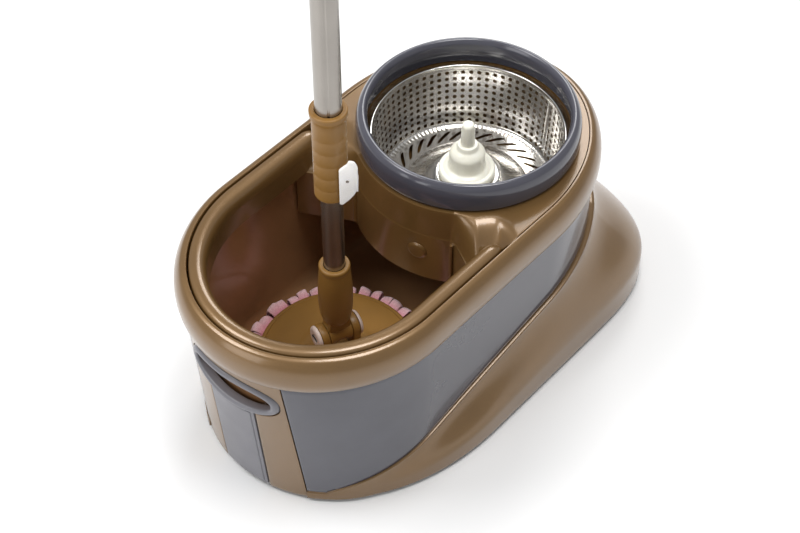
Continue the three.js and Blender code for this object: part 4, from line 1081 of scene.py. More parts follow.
def make_pull_handle(b):
    """The pull handle: a rounded ring to hold, over a plate that hangs on the hinge."""
    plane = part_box("handle_pin")

    def lean(x, y, z):
        wall = on_front(b, 0.0, z)[1]
        return (x, y + wall + x * x * b.front_reach / (2 * b.rim_half**2), z)

    bar = b.grip_bar
    deep = b.grip_depth
    rows = []
    for i in range(120):
        a = 2 * math.pi * i / 120
        lift = b.grip_proud - abs(math.cos(a)) * MM
        back = deep - lift
        outline = [(0, 2.5 * MM - lift, 1.6 * MM), (2.4 * MM, -lift, 2 * MM), (bar - 2.4 * MM, -lift, 2 * MM)]
        outline += [(bar, 2 * MM - lift, 1.6 * MM), (bar, back, 1.5 * MM), (0, back, 1.5 * MM)]
        rows.append([lean(oval(b, -k, a)[0], y, oval(b, -k, a)[1]) for k, y in fillet(outline, 4)])
    ring = Build().grid(rows, wrap_rows=True, wrap_columns=True)
    ring.piece("handle_ring", "pull_handle", "grey_plastic", ["pull_handle"], smooth=50)

    low = plane[0].z - 1.7 * MM
    top = b.grip_z - b.grip_height / 2 + bar / 2

    def board(inset, proud, thick, columns=24, height=36):
        surface = []
        for i in range(columns + 1):
            line = []
            for j in range(height + 1):
                z = mix(low + inset, top - inset, j / height)
                half = tongue_half(b, z) - inset
                line.append(lean(mix(-half, half, i / columns), -0.6 * MM - proud, z))
            surface.append(line)
        return Build().shell(surface, thick, (0, AXIS.y, 0.1))

    plate = board(0, 0, 4 * MM)
    plate.piece("handle_plate", "pull_handle", "grey_plastic", bevel=0.8 * MM)
    frame_line = board(3.6 * MM, 0.7 * MM, 1.2 * MM)
    frame_line.piece("handle_raised_field", "pull_handle", "grey_plastic", bevel=0.5 * MM)
    pin = middle("handle_pin")
    half = b.tongue_foot - 2 * MM
    barrel = fillet(
        [(0, -half), (3.6 * MM, -half, 0.6 * MM), (3.6 * MM, half, 0.6 * MM), (0, half)], 3, False,
    )
    hinge = Build().turned(barrel, facets=32, closed=False).moved(lambda x, y, z: (z, pin.y + x, pin.z + y))
    hinge.piece("handle_barrel", "pull_handle", "grey_plastic")


def make_running_gear():
    """Two wheels with tyres, and two rubber feet."""
    for side in ("left", "right"):
        centre = middle("wheel_" + side)
        radius = (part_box("tyre_" + side)[1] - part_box("tyre_" + side)[0]).z / 2
        half = (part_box("wheel_" + side)[1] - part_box("wheel_" + side)[0]).x / 2

        def upright(x, y, z, centre=centre):
            return (centre.x + z, centre.y + x, centre.z + y)

        r = radius / MM
        w = half / MM
        hub = [
            (3.4, -w), (9, -w, 0.8), (9, -w + 4, 0.8), (r - 7, -w + 4, 0.8), (r - 7, -w + 1, 0.4),
            (r - 4.4, -w + 1, 0.4),
        ]
        hub += [(x, -z, *rest) for x, z, *rest in reversed(hub)]
        disc = Build().turned(fillet(scaled(hub), 3), facets=64).moved(upright)
        disc.piece("wheel_disc_" + side, side + "_wheel", "black_plastic", ["wheel_" + side])
        tread = [
            (r - 4.1, 1 - w), (r - 1, 1 - w, 1.2), (r, 3 - w, 1.5), (r, -1.5, 0.3), (r - 0.8, -1, 0.3),
            (r - 0.8, 1, 0.3),
        ]
        tread += [(r, 1.5, 0.3), (r, w - 3, 1.5), (r - 1, w - 1, 1.2), (r - 4.1, w - 1)]
        tyre = Build().turned(fillet(scaled(tread), 3), facets=72).moved(upright)
        tyre.piece("tyre_tread_" + side, side + "_wheel", "rubber", ["tyre_" + side])
        foot = middle("front_foot_" + side)
        pad = [(0, 0), (11, 0, 1), (12, 1.2, 0.8), (11.4, 8, 0.5), (10.5, 8.6, 0.5), (10.5, 11.6), (0, 11.6)]
        rubber = Build().turned(fillet(scaled(pad), 3, False), facets=48, closed=False)
        rubber.moved(lambda x, y, z, foot=foot: (foot.x + x, foot.y + y, z))
        rubber.piece("foot_pad_" + side, "bucket", "rubber", ["front_foot_" + side])


# ------------------------------------------------------------------ splash ring and basket
def perforated(build, columns, rows, place, half_u, half_v, power=2.0):
    """A sheet of cells with a round-cornered hole in each. place(u, v) gives a point."""
    edge = [(0.5, 0), (0.5, 0.25), (0.5, 0.5), (0.25, 0.5), (0, 0.5), (-0.25, 0.5), (-0.5, 0.5), (-0.5, 0.25)]
    edge += [(-x, -y) for x, y in edge]
    for i in range(columns):
        for j in range(rows):
            start = len(build.points)
            for u, v in edge:
                build.points.append(place(i + 0.5 + u, j + 0.5 + v))
            for u, v in edge:
                a = math.atan2(v, u)
                c, s = math.cos(a), math.sin(a)
                x = math.copysign(abs(c) ** (2 / power), c) * half_u
                y = math.copysign(abs(s) ** (2 / power), s) * half_v
                build.points.append(place(i + 0.5 + x, j + 0.5 + y))
            for k in range(16):
                m = (k + 1) % 16
                build.faces.append([start + k, start + m, start + 16 + m, start + 16 + k])
    return build


def make_splash_ring(w):
    """The glossy ring round the basket: a rounded crown, undercut inside, over a foot."""
    bore, radius = w.ring_bore / MM, w.ring_radius / MM
    foot, top = w.ring_foot / MM, w.ring_top / MM
    profile = [
        (bore + 4.6, foot), (radius - 2.4, foot, 0.4), (radius - 2.4, foot + 1.8, 0.4),
        (radius - 0.6, foot + 2.4, 0.8),
    ]
    profile += [
        (radius, foot + 8, 3), (radius, top - 11, 4), (radius - 2.2, top - 3.6, 3.6),
        (radius - 6, top, 3.4),
    ]
    profile += [
        (bore + 2.6, top - 0.4, 2.4), (bore, top - 5, 2), (bore, top - 14.6, 1),
        (bore + 4.6, top - 16.6),
    ]
    made = Build().turned(fillet(scaled(profile), 6), (AXIS.x, AXIS.y), 200)
    made.piece("ring", "bucket", "slate_plastic", ["splash_ring"], smooth=60)


def make_basket(w):
    """The wringer basket: a perforated wall, a slotted floor and a rolled rim."""
    low = w.floor_z
    top = w.rim_z - 3 * MM
    rows = 9
    hole_low, hole_top = low + 0.5 * MM, top - 2.6 * MM
    columns = round(2 * math.pi * w.radius / w.pitch)
    pitch_z = (hole_top - hole_low) / rows

    def wall(z):
        return mix(w.floor_radius, w.radius - 2 * MM, (z - low) / (top - low))

    def on_wall(u, v):
        a = 2 * math.pi * u / columns
        z = hole_low + v * pitch_z
        return (AXIS.x + wall(z) * math.sin(a), AXIS.y - wall(z) * math.cos(a), z)

    made = perforated(
        Build(), columns, rows, on_wall, w.hole / 2 / w.pitch, w.hole / 2 / pitch_z
    )
    made.piece(
        "basket_wall", "basket", "stainless_steel", ["basket_shell"], look="basket_steel", solid=w.sheet,
        smooth=50,
    )

    r = (w.radius - 2 * MM) / MM
    z0, z1 = top / MM, w.rim_z / MM
    bead = [
        (r - 0.5, z0 - 2.8), (r, z0 - 0.6, 0.8), (r + 1.7, z0 + 0.2, 0.8), (r + 2, z0 + 1.6, 1),
        (r + 1.4, z1, 1),
    ]
    bead += [(r - 0.6, z1, 1), (r - 1.2, z0 + 0.8, 0.6), (r - 1.1, z0 - 2.8)]
    rim = Build().turned(fillet(scaled(bead), 4), (AXIS.x, AXIS.y), 180)
    rim.piece("basket_rim", "basket", "stainless_steel", look="basket_steel", smooth=60)

    slots, slot_in, slot_out = 34, 66 * MM, 84.5 * MM
    skew = math.radians(17)  # the slots lean from the radius over their length

    def on_floor(u, v):
        a = 2 * math.pi * u / slots - skew * (v - 0.5)
        reach = mix(slot_in, slot_out, v)
        return (AXIS.x + reach * math.sin(a), AXIS.y - reach * math.cos(a), low - 2 * MM)

    plate = perforated(Build(), slots, 1, on_floor, 0.2, 0.36, 3.5)
    ripple, facets = [], 480  # short radial ribs pressed in between the slots and the wall
    for i in range(facets):
        a = 2 * math.pi * i / facets
        lift = 0.25 * math.sin(a * facets / 4)
        corner = [(84.5, -2), (86, lift - 1.9), (88.4, lift - 1.6), (90, -0.9), (91.3, 0.3), (92, 1.6)]
        ripple.append(
            [(AXIS.x + r * MM * math.sin(a), AXIS.y - r * MM * math.cos(a), low + z * MM) for r, z in corner]
        )
    plate.grid(ripple, wrap_rows=True)
    crown = (w.crown_z - low) / MM
    dome = through(
        [(66, -2), (63.5, -1.7), (58.5, 2.2), (44, 0.68 * crown), (33.5, crown + 0.3), (25, crown + 0.4)],
        8,
    )
    plate.turned([(r * MM, low + z * MM) for r, z in dome], (AXIS.x, AXIS.y), 180, closed=False)
    plate.piece("basket_floor", "basket", "stainless_steel", look="basket_steel", solid=w.sheet, smooth=50)

    seam = Build()
    line = []
    for k in range(13):
        z = mix(low + 1 * MM, top - 1 * MM, k / 12)
        section = fillet(scaled([(-3.4, 0.1), (3.4, 0.1), (3.4, -0.5, 0.3), (-3.4, -0.5, 0.3)]), 2)
        line.append([
            (AXIS.x + (wall(z) + d) * math.sin(math.radians(160) + x / wall(z)),
             AXIS.y - (wall(z) + d) * math.cos(math.radians(160) + x / wall(z)), z)
            for x, d in section
        ])
    seam.grid(line, wrap_columns=True, caps=True)
    seam.piece("basket_weld_strip", "basket", "stainless_steel", look="basket_steel", smooth=40)


def make_hub():
    """The milk-white hub with its centre pin, on which the mop's plate turns."""
    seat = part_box("basket_hub")[0].z / MM
    profile = [(10.6, 0), (29, 0, 0.6), (29, 4.9, 1.6), (27.4, 7.4, 1.6), (24.5, 6.8, 1), (22.4, 8.6, 1.5)]
    profile += [(18.9, 10, 1.6), (18.2, 15.4, 2), (18.2, 27.4, 3), (14.6, 31.6, 2.5), (11.4, 34, 1.2)]
    profile += [(10.2, 39, 0.8), (5.2, 39.4, 0.4), (5.2, 29.4), (10.6, 27.4)]
    raised = [(r, seat + z, *rest) for r, z, *rest in profile]
    hub = Build().turned(fillet(scaled(raised), 5), (AXIS.x, AXIS.y), 96)
    hub.piece("hub", "basket", "milk_plastic", ["basket_hub"], smooth=50)
    foot, top = (end.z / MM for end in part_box("centre_pin"))
    profile = [(0, foot), (7.2, foot, 0.4), (7, foot + 14), (6.4, top - 2, 1.5), (4.4, top, 1.2), (0, top)]
    pin = Build().turned(fillet(scaled(profile), 4, False), (AXIS.x, AXIS.y), 64, closed=False)
    pin.piece("hub_pin", "basket", "milk_plastic", ["centre_pin"], smooth=50)


# ------------------------------------------------------------------ the mop
def on_pin(m, along, across, z):
    """A point of the knuckle: along its pin, across it, and a height."""
    c, s = math.cos(m.knuckle_turn), math.sin(m.knuckle_turn)
    return (POLE.x + along * c - across * s, POLE.y + along * s + across * c, z)


def round_bar(profile, m, facets=40):
    """A profile of (radius, along) turned about the knuckle's pin."""
    bar = Build().turned(fillet(scaled(profile), 4, False), facets=facets, closed=False)
    return bar.moved(lambda x, y, z: on_pin(m, z, x, m.knuckle_z + y))


def make_mop_plate(m):
    """The round plate: a thin edge, a shallow crown and a raised ring round the joint."""
    r, top = m.plate_radius / MM, m.plate_top / MM
    profile = [
        (0, top - 8.5), (r - 1.5, top - 8.5, 0.5), (r, top - 6.8, 0.8), (r, top - 2, 0.8),
        (r - 1.6, top - 1.2, 0.8),
    ]
    profile += [
        (r - 4, top - 1.4, 0.6), (r - 5, top, 0.8), (62, top + 0.2), (40, top + 0.9, 2),
        (36, top + 1.5, 1), (0, top + 1.5),
    ]
    plate = Build().turned(fillet(scaled(profile), 4, False), (POLE.x, POLE.y), 128, closed=False)
    plate.piece("mop_disc", "mop_head", "ochre_plastic", ["mop_plate"], smooth=50)


def ribbon(build, painted_shade_values, line, direction, width, twist, sag):
    """One flat strip along a line in the plane of a direction, with a slow twist."""
    dx, dy = math.cos(direction), math.sin(direction)
    furthest = max(r for r, _ in line)
    rows = []
    for k, (r, z) in enumerate(line):
        t = k / (len(line) - 1)
        lean = twist * math.sin(math.pi * t)
        row = []
        for j in range(5):
            v = (j / 4 - 0.5) * width
            curl = sag * (1 - (2 * j / 4 - 1) ** 2)
            side = v * math.cos(lean)
            up = v * math.sin(lean) + curl
            reach = r + curl * 0.4
            row.append(
                (POLE.x + reach * dx - side * dy, POLE.y + reach * dy + side * dx, max(z + up, 0.0196))
            )
            # painted shade value: 0 at the strip's outer end, rising to 1 within 14 mm inwards
            painted_shade_values.append(clamp((furthest - r) / (14 * MM)))
        rows.append(row)
    build.grid(rows)


def make_pile(m):
    """Looped microfibre strips in layers round the plate, down to the tub's floor."""
    rng = random.Random(SEED)
    build = Build()
    painted_shade_values = []
    under = m.plate_top - 9.4 * MM
    layers = 5
    for layer in range(layers):
        strips = 44 - 2 * layer
        high = under - 0.8 * MM - layer * 7.4 * MM
        for i in range(strips):
            direction = 2 * math.pi * (i + 0.5 * (layer % 2) + rng.uniform(-0.16, 0.16)) / strips
            reach = m.pile_radius + rng.uniform(-3.0, 1.2) * MM - 1.2 * MM * (layers - layer == 1)
            bend = rng.uniform(4.5, 6.5) * MM
            low = max(high - 2 * bend, 0.0205)
            lift = rng.uniform(0.5, 3.0) * MM if layer == 0 else 0
            points = [
                (0.05, high), (0.066, high), (0.079, high), (reach - 5 * MM, high + lift),
                (reach - 1 * MM, high + lift - 0.35 * bend),
            ]
            points += [
                (reach, (high + low) / 2), (reach - 1.4 * MM, low + 0.3 * bend), (reach - 6 * MM, low),
                (0.07, low), (0.046, low + 1 * MM),
            ]
            twist = rng.uniform(-0.5, 0.5)
            width = m.strip_width * rng.uniform(0.92, 1.1)
            ribbon(build, painted_shade_values, through(points, 3), direction, width, twist, rng.uniform(0.4, 1.6) * MM)
    core = [(0, 20), (60, 20, 3), (74, 26, 6), (76, 46, 5), (66, under / MM - 1.4, 3), (0, under / MM - 1.4)]
    start = len(build.points)
    build.turned(fillet(scaled(core), 4, False), (POLE.x, POLE.y), 72, closed=False)
    # the core under the strips gets full painted shade
    painted_shade_values.extend([1.0] * (len(build.points) - start))
    mesh = bpy.data.meshes.new("pile")
    mesh.from_pydata(build.points, [], build.faces)
    # painted shade per point, read by the microfibre material
    painted_shade = mesh.attributes.new("painted_shade", "FLOAT", "POINT")
    painted_shade.data.foreach_set("value", np.array(painted_shade_values, np.float32))
    pile = bpy.data.objects.new("pile", mesh)
    bpy.context.scene.collection.objects.link(pile)
    thick = pile.modifiers.new("Thickness", "SOLIDIFY")
    thick.thickness = 1.3 * MM
    thick.offset = -1
    pile.modifiers.new("Smooth", "SUBSURF").levels = 1
    dg = bpy.context.evaluated_depsgraph_get()
    applied = bpy.data.meshes.new_from_object(pile.evaluated_get(dg))
    pile.modifiers.clear()
    pile.data = applied
    pile.data.shade_smooth()
    pile.data.materials.append(FINISHES["microfibre"])
    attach(pile, "mop_head")
    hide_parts("microfibre_pile")


def make_knuckle(m):
    """The tilting joint: two ears on a round foot, capped on both sides."""
    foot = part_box("knuckle_base")[0].z
    disc = fillet(scaled([(0, 0), (25, 0, 0.4), (25, 1.8, 0.8), (23.4, 3.6, 1), (0, 4)]), 4, False)
    base = Build().turned([(r, foot + z) for r, z in disc], (POLE.x, POLE.y), 72, closed=False)
    r = m.knuckle_radius
    for side in (-1, 1):
        outline = [(-r, foot + 2 * MM), (r, foot + 2 * MM), (r, m.knuckle_z)]
        outline += [
            (r * math.cos(a), m.knuckle_z + r * math.sin(a))
            for a in np.linspace(0.2, math.pi - 0.2, 14)
        ]
        outline += [(-r, m.knuckle_z)]
        near, far = side * 12.7 * MM, side * 20.4 * MM
        steps = [
            near, near + side * 0.2 * MM, near + side * 0.9 * MM, far - side * 0.9 * MM,
            far - side * 0.2 * MM, far,
        ]
        rows = []
        for d, shrink in zip(steps, (0.9, 0.3, 0, 0, 0.3, 0.9)):
            k = 1 - shrink * MM / r
            rows.append([on_pin(m, d, u * k, m.knuckle_z + (z - m.knuckle_z) * k) for u, z in outline])
        base.grid(rows, wrap_columns=True, caps=True)
    base.piece("knuckle_ears", "mop_head", "ochre_plastic", ["knuckle_base"], smooth=50)
    for name, side in (("front", -1), ("rear", 1)):
        k = side
        edge = r / MM
        profile = [
            (0, 20.9), (edge, 20.9, 0.3), (edge, 22.8, 1.4), (edge - 2, 24.6, 1.2), (5, 24.7, 0.5),
            (4.4, 23.9, 0.4), (0, 23.9),
        ]
        cap = round_bar([(a, k * b, *c) for a, b, *c in profile], m)
        cap.piece("knuckle_cover_" + name, "mop_head", "cream_plastic", ["knuckle_cap_" + name])
        # painted shade: a black bar stands in for the shade inside the slot across each cap
        slot_line = fillet(
            scaled([(-5.4, -0.9, 0.5), (5.4, -0.9, 0.5), (5.4, 0.9, 0.5), (-5.4, 0.9, 0.5)]), 3,
        )
        rows = [[on_pin(m, k * d * MM, u, m.knuckle_z + z) for u, z in slot_line] for d in (23.4, 24.95)]
        slot_shade = Build().grid(rows, wrap_columns=True, caps=True)
        slot_shade.piece("knuckle_slot_painted_shade_" + name, "mop_head", "black_plastic", bevel=0.1 * MM)


def make_socket(m):
    """The barrel-shaped socket that the pole is pressed into, down to its own knuckle barrel."""
    foot, bore = m.knuckle_z / MM + 20, m.lower_tube / MM + 0.35
    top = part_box("lower_socket")[1].z / MM
    side = through(
        [
            (12.6, foot), (15.2, foot + 7), (16.8, foot + 22), (17.1, foot + 38), (16.4, foot + 54),
            (15.2, top - 9),
        ],
        5,
    )
    profile = [(0, foot), *side[:-1], (14.9, top - 6, 1), (15.3, top - 4.8, 0.8), (15.3, top - 1.4, 0.8)]
    profile += [(14.2, top, 0.7), (bore, top, 0.4), (bore, top - 30)]
    socket = Build().turned(fillet(scaled(profile), 4, False), (POLE.x, POLE.y), 96, closed=False)
    rows = []
    for z, x, y in (
        (foot - 20, 11.9, 8.2), (foot - 10, 11.9, 8.3), (foot - 4, 11.4, 8.6), (foot + 2, 11, 9.6),
    ):
        outline = fillet(scaled([(-x, -y, 2), (x, -y, 2), (x, y, 2), (-x, y, 2)]), 4)
        rows.append([on_pin(m, u, v, z * MM) for u, v in outline])
    socket.grid(rows, wrap_columns=True, caps=True)
    edge = m.knuckle_radius / MM
    barrel = round_bar([(0, -12.1), (edge, -12.1, 0.8), (edge - 2, 0, 8), (edge, 12.1, 0.8), (0, 12.1)], m)
    start = len(socket.points)
    socket.points += barrel.points
    socket.faces += [[start + i for i in face] for face in barrel.faces]
    socket.piece("socket", "lower_pole", "ochre_plastic", ["lower_socket"], smooth=50)


def steel_tube(name, body, node_name, radius, wall, flute=0.0):
    """A drawn tube with rolled ends, and a shallow flute down one side if it has one."""
    low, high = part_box(node_name)
    rows = []
    facets = 180
    for i in range(facets):
        a = 2 * math.pi * i / facets
        dip = flute * math.exp(-(((a - math.radians(44)) / 0.075) ** 4))
        r = radius - dip
        line = [(r - wall, low.z), (r - 0.2 * MM, low.z), (r, low.z + 0.3 * MM)]
        line += [(r, mix(low.z, high.z, k / 8)) for k in range(1, 8)]
        line += [(r, high.z - 0.3 * MM), (r - 0.2 * MM, high.z), (r - wall, high.z)]
        rows.append([(POLE.x + q * math.sin(a), POLE.y - q * math.cos(a), z) for q, z in line])
    made = Build().grid(rows, wrap_rows=True, wrap_columns=True)
    made.piece(name, body, "stainless_steel", [node_name], smooth=50)


def make_tubes(m):
    """The two steel tubes of the telescopic pole. The upper one has a flute along it."""
    steel_tube("tube_lower", "lower_pole", "lower_tube", m.lower_tube, 0.9 * MM)
    steel_tube("tube_upper", "upper_pole", "upper_tube", m.upper_tube, 0.9 * MM, 0.8 * MM)


def on_lever(m, x, y, z):
    """A point of the lever: along its direction, across it, and a height."""
    c, s = math.cos(m.lever_turn), math.sin(m.lever_turn)
    return (POLE.x + x * c - y * s, POLE.y + x * s + y * c, z)


def make_lock(m):
    """The lock sleeve with its faint steps and flared mouth, and the white lever on it."""
    low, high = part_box("lock_sleeve")
    r = m.sleeve / MM
    z0, z1 = low.z / MM, high.z / MM
    bore = m.lower_tube / MM + 0.35
    wide = m.upper_tube / MM + 0.35
    profile = [(bore, z0), (r - 1.2, z0, 0.4), (r, z0 + 1.6, 1)]
    for k in range(1, 6):  # shallow steps that the fingers feel
        z = mix(z0, z1 - 14, k / 6)
        profile += [(r, z - 1.2), (r - 0.12, z - 0.5, 0.5), (r - 0.12, z + 0.5, 0.5), (r, z + 1.2)]
    profile += [
        (r, z1 - 12, 2), (r + 0.5, z1 - 8, 1), (r + 1.6, z1 - 6.6, 0.8), (r + 1.8, z1 - 1, 0.8),
        (r + 1, z1, 0.6),
    ]
    profile += [(wide, z1, 0.4), (wide, z1 - 60), (wide, z0 + 16), (bore + 2.4, z0 + 15), (bore, z0 + 2)]
    sleeve = Build().turned(fillet(scaled(profile), 4), (POLE.x, POLE.y), 96)
    sleeve.piece("sleeve", "upper_pole", "ochre_plastic", ["lock_sleeve"], smooth=45)
    pivot = middle("lever_pin").z / MM
    cheek = [(8, -30, 1), (10.5, -31, 1), (18, -23, 4), (23, -15, 4), (25, -6, 4), (25, 17, 3), (22, 23.5, 2)]
    cheek += [(17, 24.5, 1.5), (15.5, 20.5, 1.5), (11, 16.5, 2), (8, 13, 1.5)]
    outline = fillet([(u * MM, (pivot + z) * MM, c * MM) for u, z, c in cheek], 5)
    inner, outer = (r + 0.75) * MM, (r + 3.1) * MM
    centre = (16 * MM, (pivot - 3) * MM)
    rows = []
    for d, k in (
        (inner, 0.985), (inner + 0.25 * MM, 1), (outer - 0.9 * MM, 1), (outer - 0.3 * MM, 0.975),
        (outer, 0.93),
    ):
        rows.append([on_lever(m, mix(centre[0], u, k), -d, mix(centre[1], z, k)) for u, z in outline])
    lever = Build().grid(rows, wrap_columns=True, caps=True)
    pad = fillet(scaled([(21.5, -14, 1), (25, -14, 1), (25, -5, 1), (21.5, -5, 1)]), 4)
    rows = [
        [on_lever(m, u, mix(-inner - 1 * MM, -5 * MM, k / 8), pivot * MM + z) for u, z in pad]
        for k in range(9)
    ]
    lever.grid(rows, wrap_columns=True, caps=True)
    lever.piece("lever", "lock_lever", "white_plastic", ["lock_lever"], smooth=50)


def make_grip(m):
    """The hand grip with soft waves for the fingers, and the end cap with its hanging loop."""
    low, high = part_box("handle_grip")
    r = m.grip / MM
    bore = m.upper_tube / MM + 0.4
    z0, z1 = low.z / MM, high.z / MM
    waves = [
        (r - 0.15 + 0.6 * math.cos(2 * math.pi * 5 * k / 80), mix(z0 + 6, z1 - 4, k / 80))
        for k in range(81)
    ]
    profile = [
        (bore, z0), (r + 0.2, z0, 0.8), (r + 0.45, z0 + 3, 1), *waves, (r + 0.45, z1 - 1, 0.8),
        (r - 0.4, z1), (bore, z1),
    ]
    grip = Build().turned(fillet(scaled(profile), 3), (POLE.x, POLE.y), 96)
    grip.piece("grip", "upper_pole", "ochre_plastic", ["handle_grip"], smooth=50)
    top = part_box("hanging_cap")[1].z / MM
    dome = fillet(
        scaled(
            [
                (0, z1 + 0.5), (r + 0.2, z1 + 0.5, 0.4), (r + 0.2, z1 + 3, 2), (r - 1, z1 + 12.6, 6),
                (9, z1 + 24, 5), (0, z1 + 26),
            ]
        ),
        6, False,
    )
    cap = Build().turned(dome, (POLE.x, POLE.y), 96, closed=False)
    ring, bar = 13, 4
    middle_z = top - 1.25 * ring - 1.25 * bar
    rows = []
    for i in range(72):
        a = 2 * math.pi * i / 72
        row = []
        for k in range(20):
            c = 2 * math.pi * k / 20
            reach = ring + bar * math.cos(c)
            x = reach * math.cos(a) * MM
            row.append(
                (POLE.x + x, POLE.y + bar * math.sin(c) * MM, (middle_z + 1.25 * reach * math.sin(a)) * MM)
            )
        rows.append(row)
    cap.grid(rows, wrap_rows=True, wrap_columns=True)
    cap.piece("end_cap", "upper_pole", "ochre_plastic", ["hanging_cap"], smooth=60)


# ------------------------------------------------------------------ hidden pieces, studio
def dress_cad_nodes():
    """The inner pieces that stay as they are get their own finish."""
    for part in frame["record"]["subparts"]:
        shown = frame["nodes"][part["node"]]
        if shown.hide_render:
            continue
        shown.data.materials.clear()
        shown.data.materials.append(FINISHES[part["material_slot"]])


def softbox(name, place, aim, size, power):
    """A square area light that looks at a point."""
    data = bpy.data.lights.new(name, "AREA")
    data.size = size
    data.energy = power
    made = bpy.data.objects.new(name, data)
    made.location = place
    direction = np.array(aim) - np.array(place)
    flat = math.hypot(direction[0], direction[1])
    made.rotation_euler = (
        math.pi / 2 + math.atan2(direction[2], flat), 0, math.atan2(-direction[0], direction[1]),
    )
    bpy.context.scene.collection.objects.link(made)


def make_studio(studio):
    """A pale floor, soft light from all round and the camera."""
    scene = bpy.context.scene
    mesh = bpy.data.meshes.new("floor")
    mesh.from_pydata([(-9, -9, 0), (9, -9, 0), (9, 9, 0), (-9, 9, 0)], [], [(0, 1, 2, 3)])
    floor = bpy.data.objects.new("floor", mesh)
    scene.collection.objects.link(floor)
    colour = scene.spin_mop_colours.floor

    def build(tree):
        return {"Base Color": shades(tree, speckle(tree, 0.4), rgba(colour, 0.99), rgba(colour, 1.0))}

    mesh.materials.append(finish("Painted studio floor, rolled", build, Roughness=0.9, IOR=1.45))
    world = bpy.data.worlds.new("Studio")
    world.use_nodes = True
    world.node_tree.nodes["Background"].inputs["Color"].default_value = (1, 1, 1, 1)
    world.node_tree.nodes["Background"].inputs["Strength"].default_value = 0.44
    scene.world = world
    softbox("Key", (-0.9, -0.9, 2.1), (0, -0.05, 0.15), 0.9, 25)
    softbox("Top", (0.35, 0.05, 2.3), (0, -0.05, 0.1), 0.8, 24)
    softbox("Fill", (-0.4, -2.4, 0.9), (0, -0.1, 0.15), 1.2, 11)
    softbox("Back", (-0.9, 1.7, 1.7), (0, 0.05, 0.2), 0.9, 17)
    data = bpy.data.cameras.new("Camera")
    data.lens = studio.lens
    data.sensor_width = 36
    camera = bpy.data.objects.new("Camera", data)
    camera.location = studio.camera_place
    camera.rotation_euler = (math.pi / 2 - studio.pitch, 0, studio.azimuth)
    scene.collection.objects.link(camera)
    scene.camera = camera
    scene.view_settings.view_transform = "Standard"


# ------------------------------------------------------------------ operators and panel
class SPINMOP_OT_finishes(bpy.types.Operator):
    """Make the materials from the colours"""

    bl_idname = "spinmop.finishes"
    bl_label = "Finishes"

    def execute(self, context):
        FINISHES.update(make_finishes())
        return {"FINISHED"}


class SPINMOP_OT_tub(bpy.types.Operator):
    """Make the water tub and the rim band"""

    bl_idname = "spinmop.tub"
    bl_label = "Tub and rim"

    def execute(self, context):
        settings = context.scene.spin_mop_bucket
        make_tub(settings)
        make_rim(settings)
        return {"FINISHED"}


class SPINMOP_OT_skins(bpy.types.Operator):
    """Make the side panels, the fascias and the skirt"""

    bl_idname = "spinmop.skins"
    bl_label = "Skins"

    def execute(self, context):
        settings = context.scene.spin_mop_bucket
        make_side_panels(settings)
        make_front_fascia(settings)
        make_skirt(settings)
        return {"FINISHED"}


class SPINMOP_OT_insert(bpy.types.Operator):
    """Make the deck, its lip and its details"""

    bl_idname = "spinmop.insert"
    bl_label = "Insert"

    def execute(self, context):
        settings = context.scene.spin_mop_bucket
        make_deck(settings)
        make_lip(settings)
        make_apron_details(settings)
        return {"FINISHED"}


class SPINMOP_OT_handle(bpy.types.Operator):
    """Make the pull handle"""

    bl_idname = "spinmop.handle"
    bl_label = "Pull handle"

    def execute(self, context):
        make_pull_handle(context.scene.spin_mop_bucket)
        return {"FINISHED"}


class SPINMOP_OT_wheels(bpy.types.Operator):
    """Make the wheels, the tyres and the feet"""

    bl_idname = "spinmop.wheels"
    bl_label = "Wheels and feet"

    def execute(self, context):
        make_running_gear()
        return {"FINISHED"}


class SPINMOP_OT_ring(bpy.types.Operator):
    """Make the splash ring"""

    bl_idname = "spinmop.ring"
    bl_label = "Splash ring"

    def execute(self, context):
        make_splash_ring(context.scene.spin_mop_basket)
        return {"FINISHED"}


class SPINMOP_OT_basket(bpy.types.Operator):
    """Make the perforated basket"""

    bl_idname = "spinmop.basket"
    bl_label = "Basket"

    def execute(self, context):
        make_basket(context.scene.spin_mop_basket)
        return {"FINISHED"}


class SPINMOP_OT_hub(bpy.types.Operator):
    """Make the basket's hub and pin"""

    bl_idname = "spinmop.hub"
    bl_label = "Hub"

    def execute(self, context):
        make_hub()
        return {"FINISHED"}


class SPINMOP_OT_plate(bpy.types.Operator):
    """Make the mop's plate"""

    bl_idname = "spinmop.plate"
    bl_label = "Mop plate"

    def execute(self, context):
        make_mop_plate(context.scene.spin_mop_mop)
        return {"FINISHED"}


class SPINMOP_OT_pile(bpy.types.Operator):
    """Make the microfibre strips"""

    bl_idname = "spinmop.pile"
    bl_label = "Microfibre"

    def execute(self, context):
        make_pile(context.scene.spin_mop_mop)
        return {"FINISHED"}


class SPINMOP_OT_knuckle(bpy.types.Operator):
    """Make the tilting joint and the socket"""

    bl_idname = "spinmop.knuckle"
    bl_label = "Knuckle"

    def execute(self, context):
        settings = context.scene.spin_mop_mop
        make_knuckle(settings)
        make_socket(settings)
        return {"FINISHED"}


class SPINMOP_OT_lock(bpy.types.Operator):
    """Make the lock sleeve and its lever"""

    bl_idname = "spinmop.lock"
    bl_label = "Lock"

    def execute(self, context):
        make_lock(context.scene.spin_mop_mop)
        return {"FINISHED"}


class SPINMOP_OT_grip(bpy.types.Operator):
    """Make the hand grip and the end cap"""

    bl_idname = "spinmop.grip"
    bl_label = "Grip"

    def execute(self, context):
        make_grip(context.scene.spin_mop_mop)
        return {"FINISHED"}


class SPINMOP_OT_tubes(bpy.types.Operator):
    """Make the pole's two steel tubes"""

    bl_idname = "spinmop.tubes"
    bl_label = "Tubes"

    def execute(self, context):
        make_tubes(context.scene.spin_mop_mop)
        return {"FINISHED"}


class SPINMOP_OT_hidden(bpy.types.Operator):
    """Give the inner pieces their finishes"""

    bl_idname = "spinmop.hidden"
    bl_label = "Inner pieces"

    def execute(self, context):
        dress_cad_nodes()
        return {"FINISHED"}


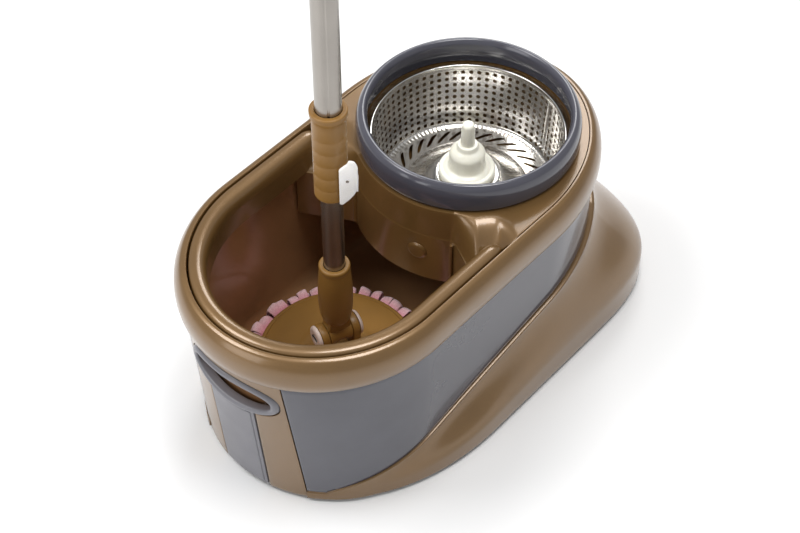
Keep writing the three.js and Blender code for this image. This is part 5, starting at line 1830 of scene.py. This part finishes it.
class SPINMOP_OT_studio(bpy.types.Operator):
    """Make the floor, the lights and the camera"""

    bl_idname = "spinmop.studio"
    bl_label = "Studio"

    def execute(self, context):
        make_studio(context.scene.spin_mop_studio)
        return {"FINISHED"}


OPERATORS = [
    SPINMOP_OT_finishes,
    SPINMOP_OT_tub,
    SPINMOP_OT_skins,
    SPINMOP_OT_insert,
    SPINMOP_OT_handle,
    SPINMOP_OT_wheels,
    SPINMOP_OT_ring,
    SPINMOP_OT_basket,
    SPINMOP_OT_hub,
    SPINMOP_OT_plate,
    SPINMOP_OT_pile,
    SPINMOP_OT_knuckle,
    SPINMOP_OT_lock,
    SPINMOP_OT_grip,
    SPINMOP_OT_tubes,
    SPINMOP_OT_hidden,
    SPINMOP_OT_studio,
]


class SPINMOP_PT_panel(bpy.types.Panel):
    """Lists the set's settings and operators"""

    bl_idname = "SPINMOP_PT_panel"
    bl_label = "Spin mop set"
    bl_space_type = "VIEW_3D"
    bl_region_type = "UI"
    bl_category = "Spin mop"

    def draw(self, context):
        for group in GROUPS:
            settings = getattr(context.scene, group)
            box = self.layout.box()
            for name in settings.__annotations__:
                box.prop(settings, name)
        for kind in OPERATORS:
            self.layout.operator(kind.bl_idname)


GROUPS = {
    "spin_mop_bucket": SpinMopBucketSizes,
    "spin_mop_basket": SpinMopBasketSizes,
    "spin_mop_mop": SpinMopMopSizes,
    "spin_mop_colours": SpinMopColours,
    "spin_mop_studio": SpinMopStudio,
}


def register():
    """Adds the settings, the operators and the panel to Blender."""
    for kind in (*GROUPS.values(), *OPERATORS, SPINMOP_PT_panel):
        bpy.utils.register_class(kind)
    for name, kind in GROUPS.items():
        setattr(bpy.types.Scene, name, bpy.props.PointerProperty(type=kind))


def unregister():
    """Takes them out again."""
    for name in GROUPS:
        delattr(bpy.types.Scene, name)
    for kind in (SPINMOP_PT_panel, *reversed(OPERATORS), *reversed(GROUPS.values())):
        bpy.utils.unregister_class(kind)


def main():
    """Registers the add-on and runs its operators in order."""
    register()
    for kind in OPERATORS:
        group, name = kind.bl_idname.split(".")
        getattr(getattr(bpy.ops, group), name)()


if __name__ == "__main__":
    main()
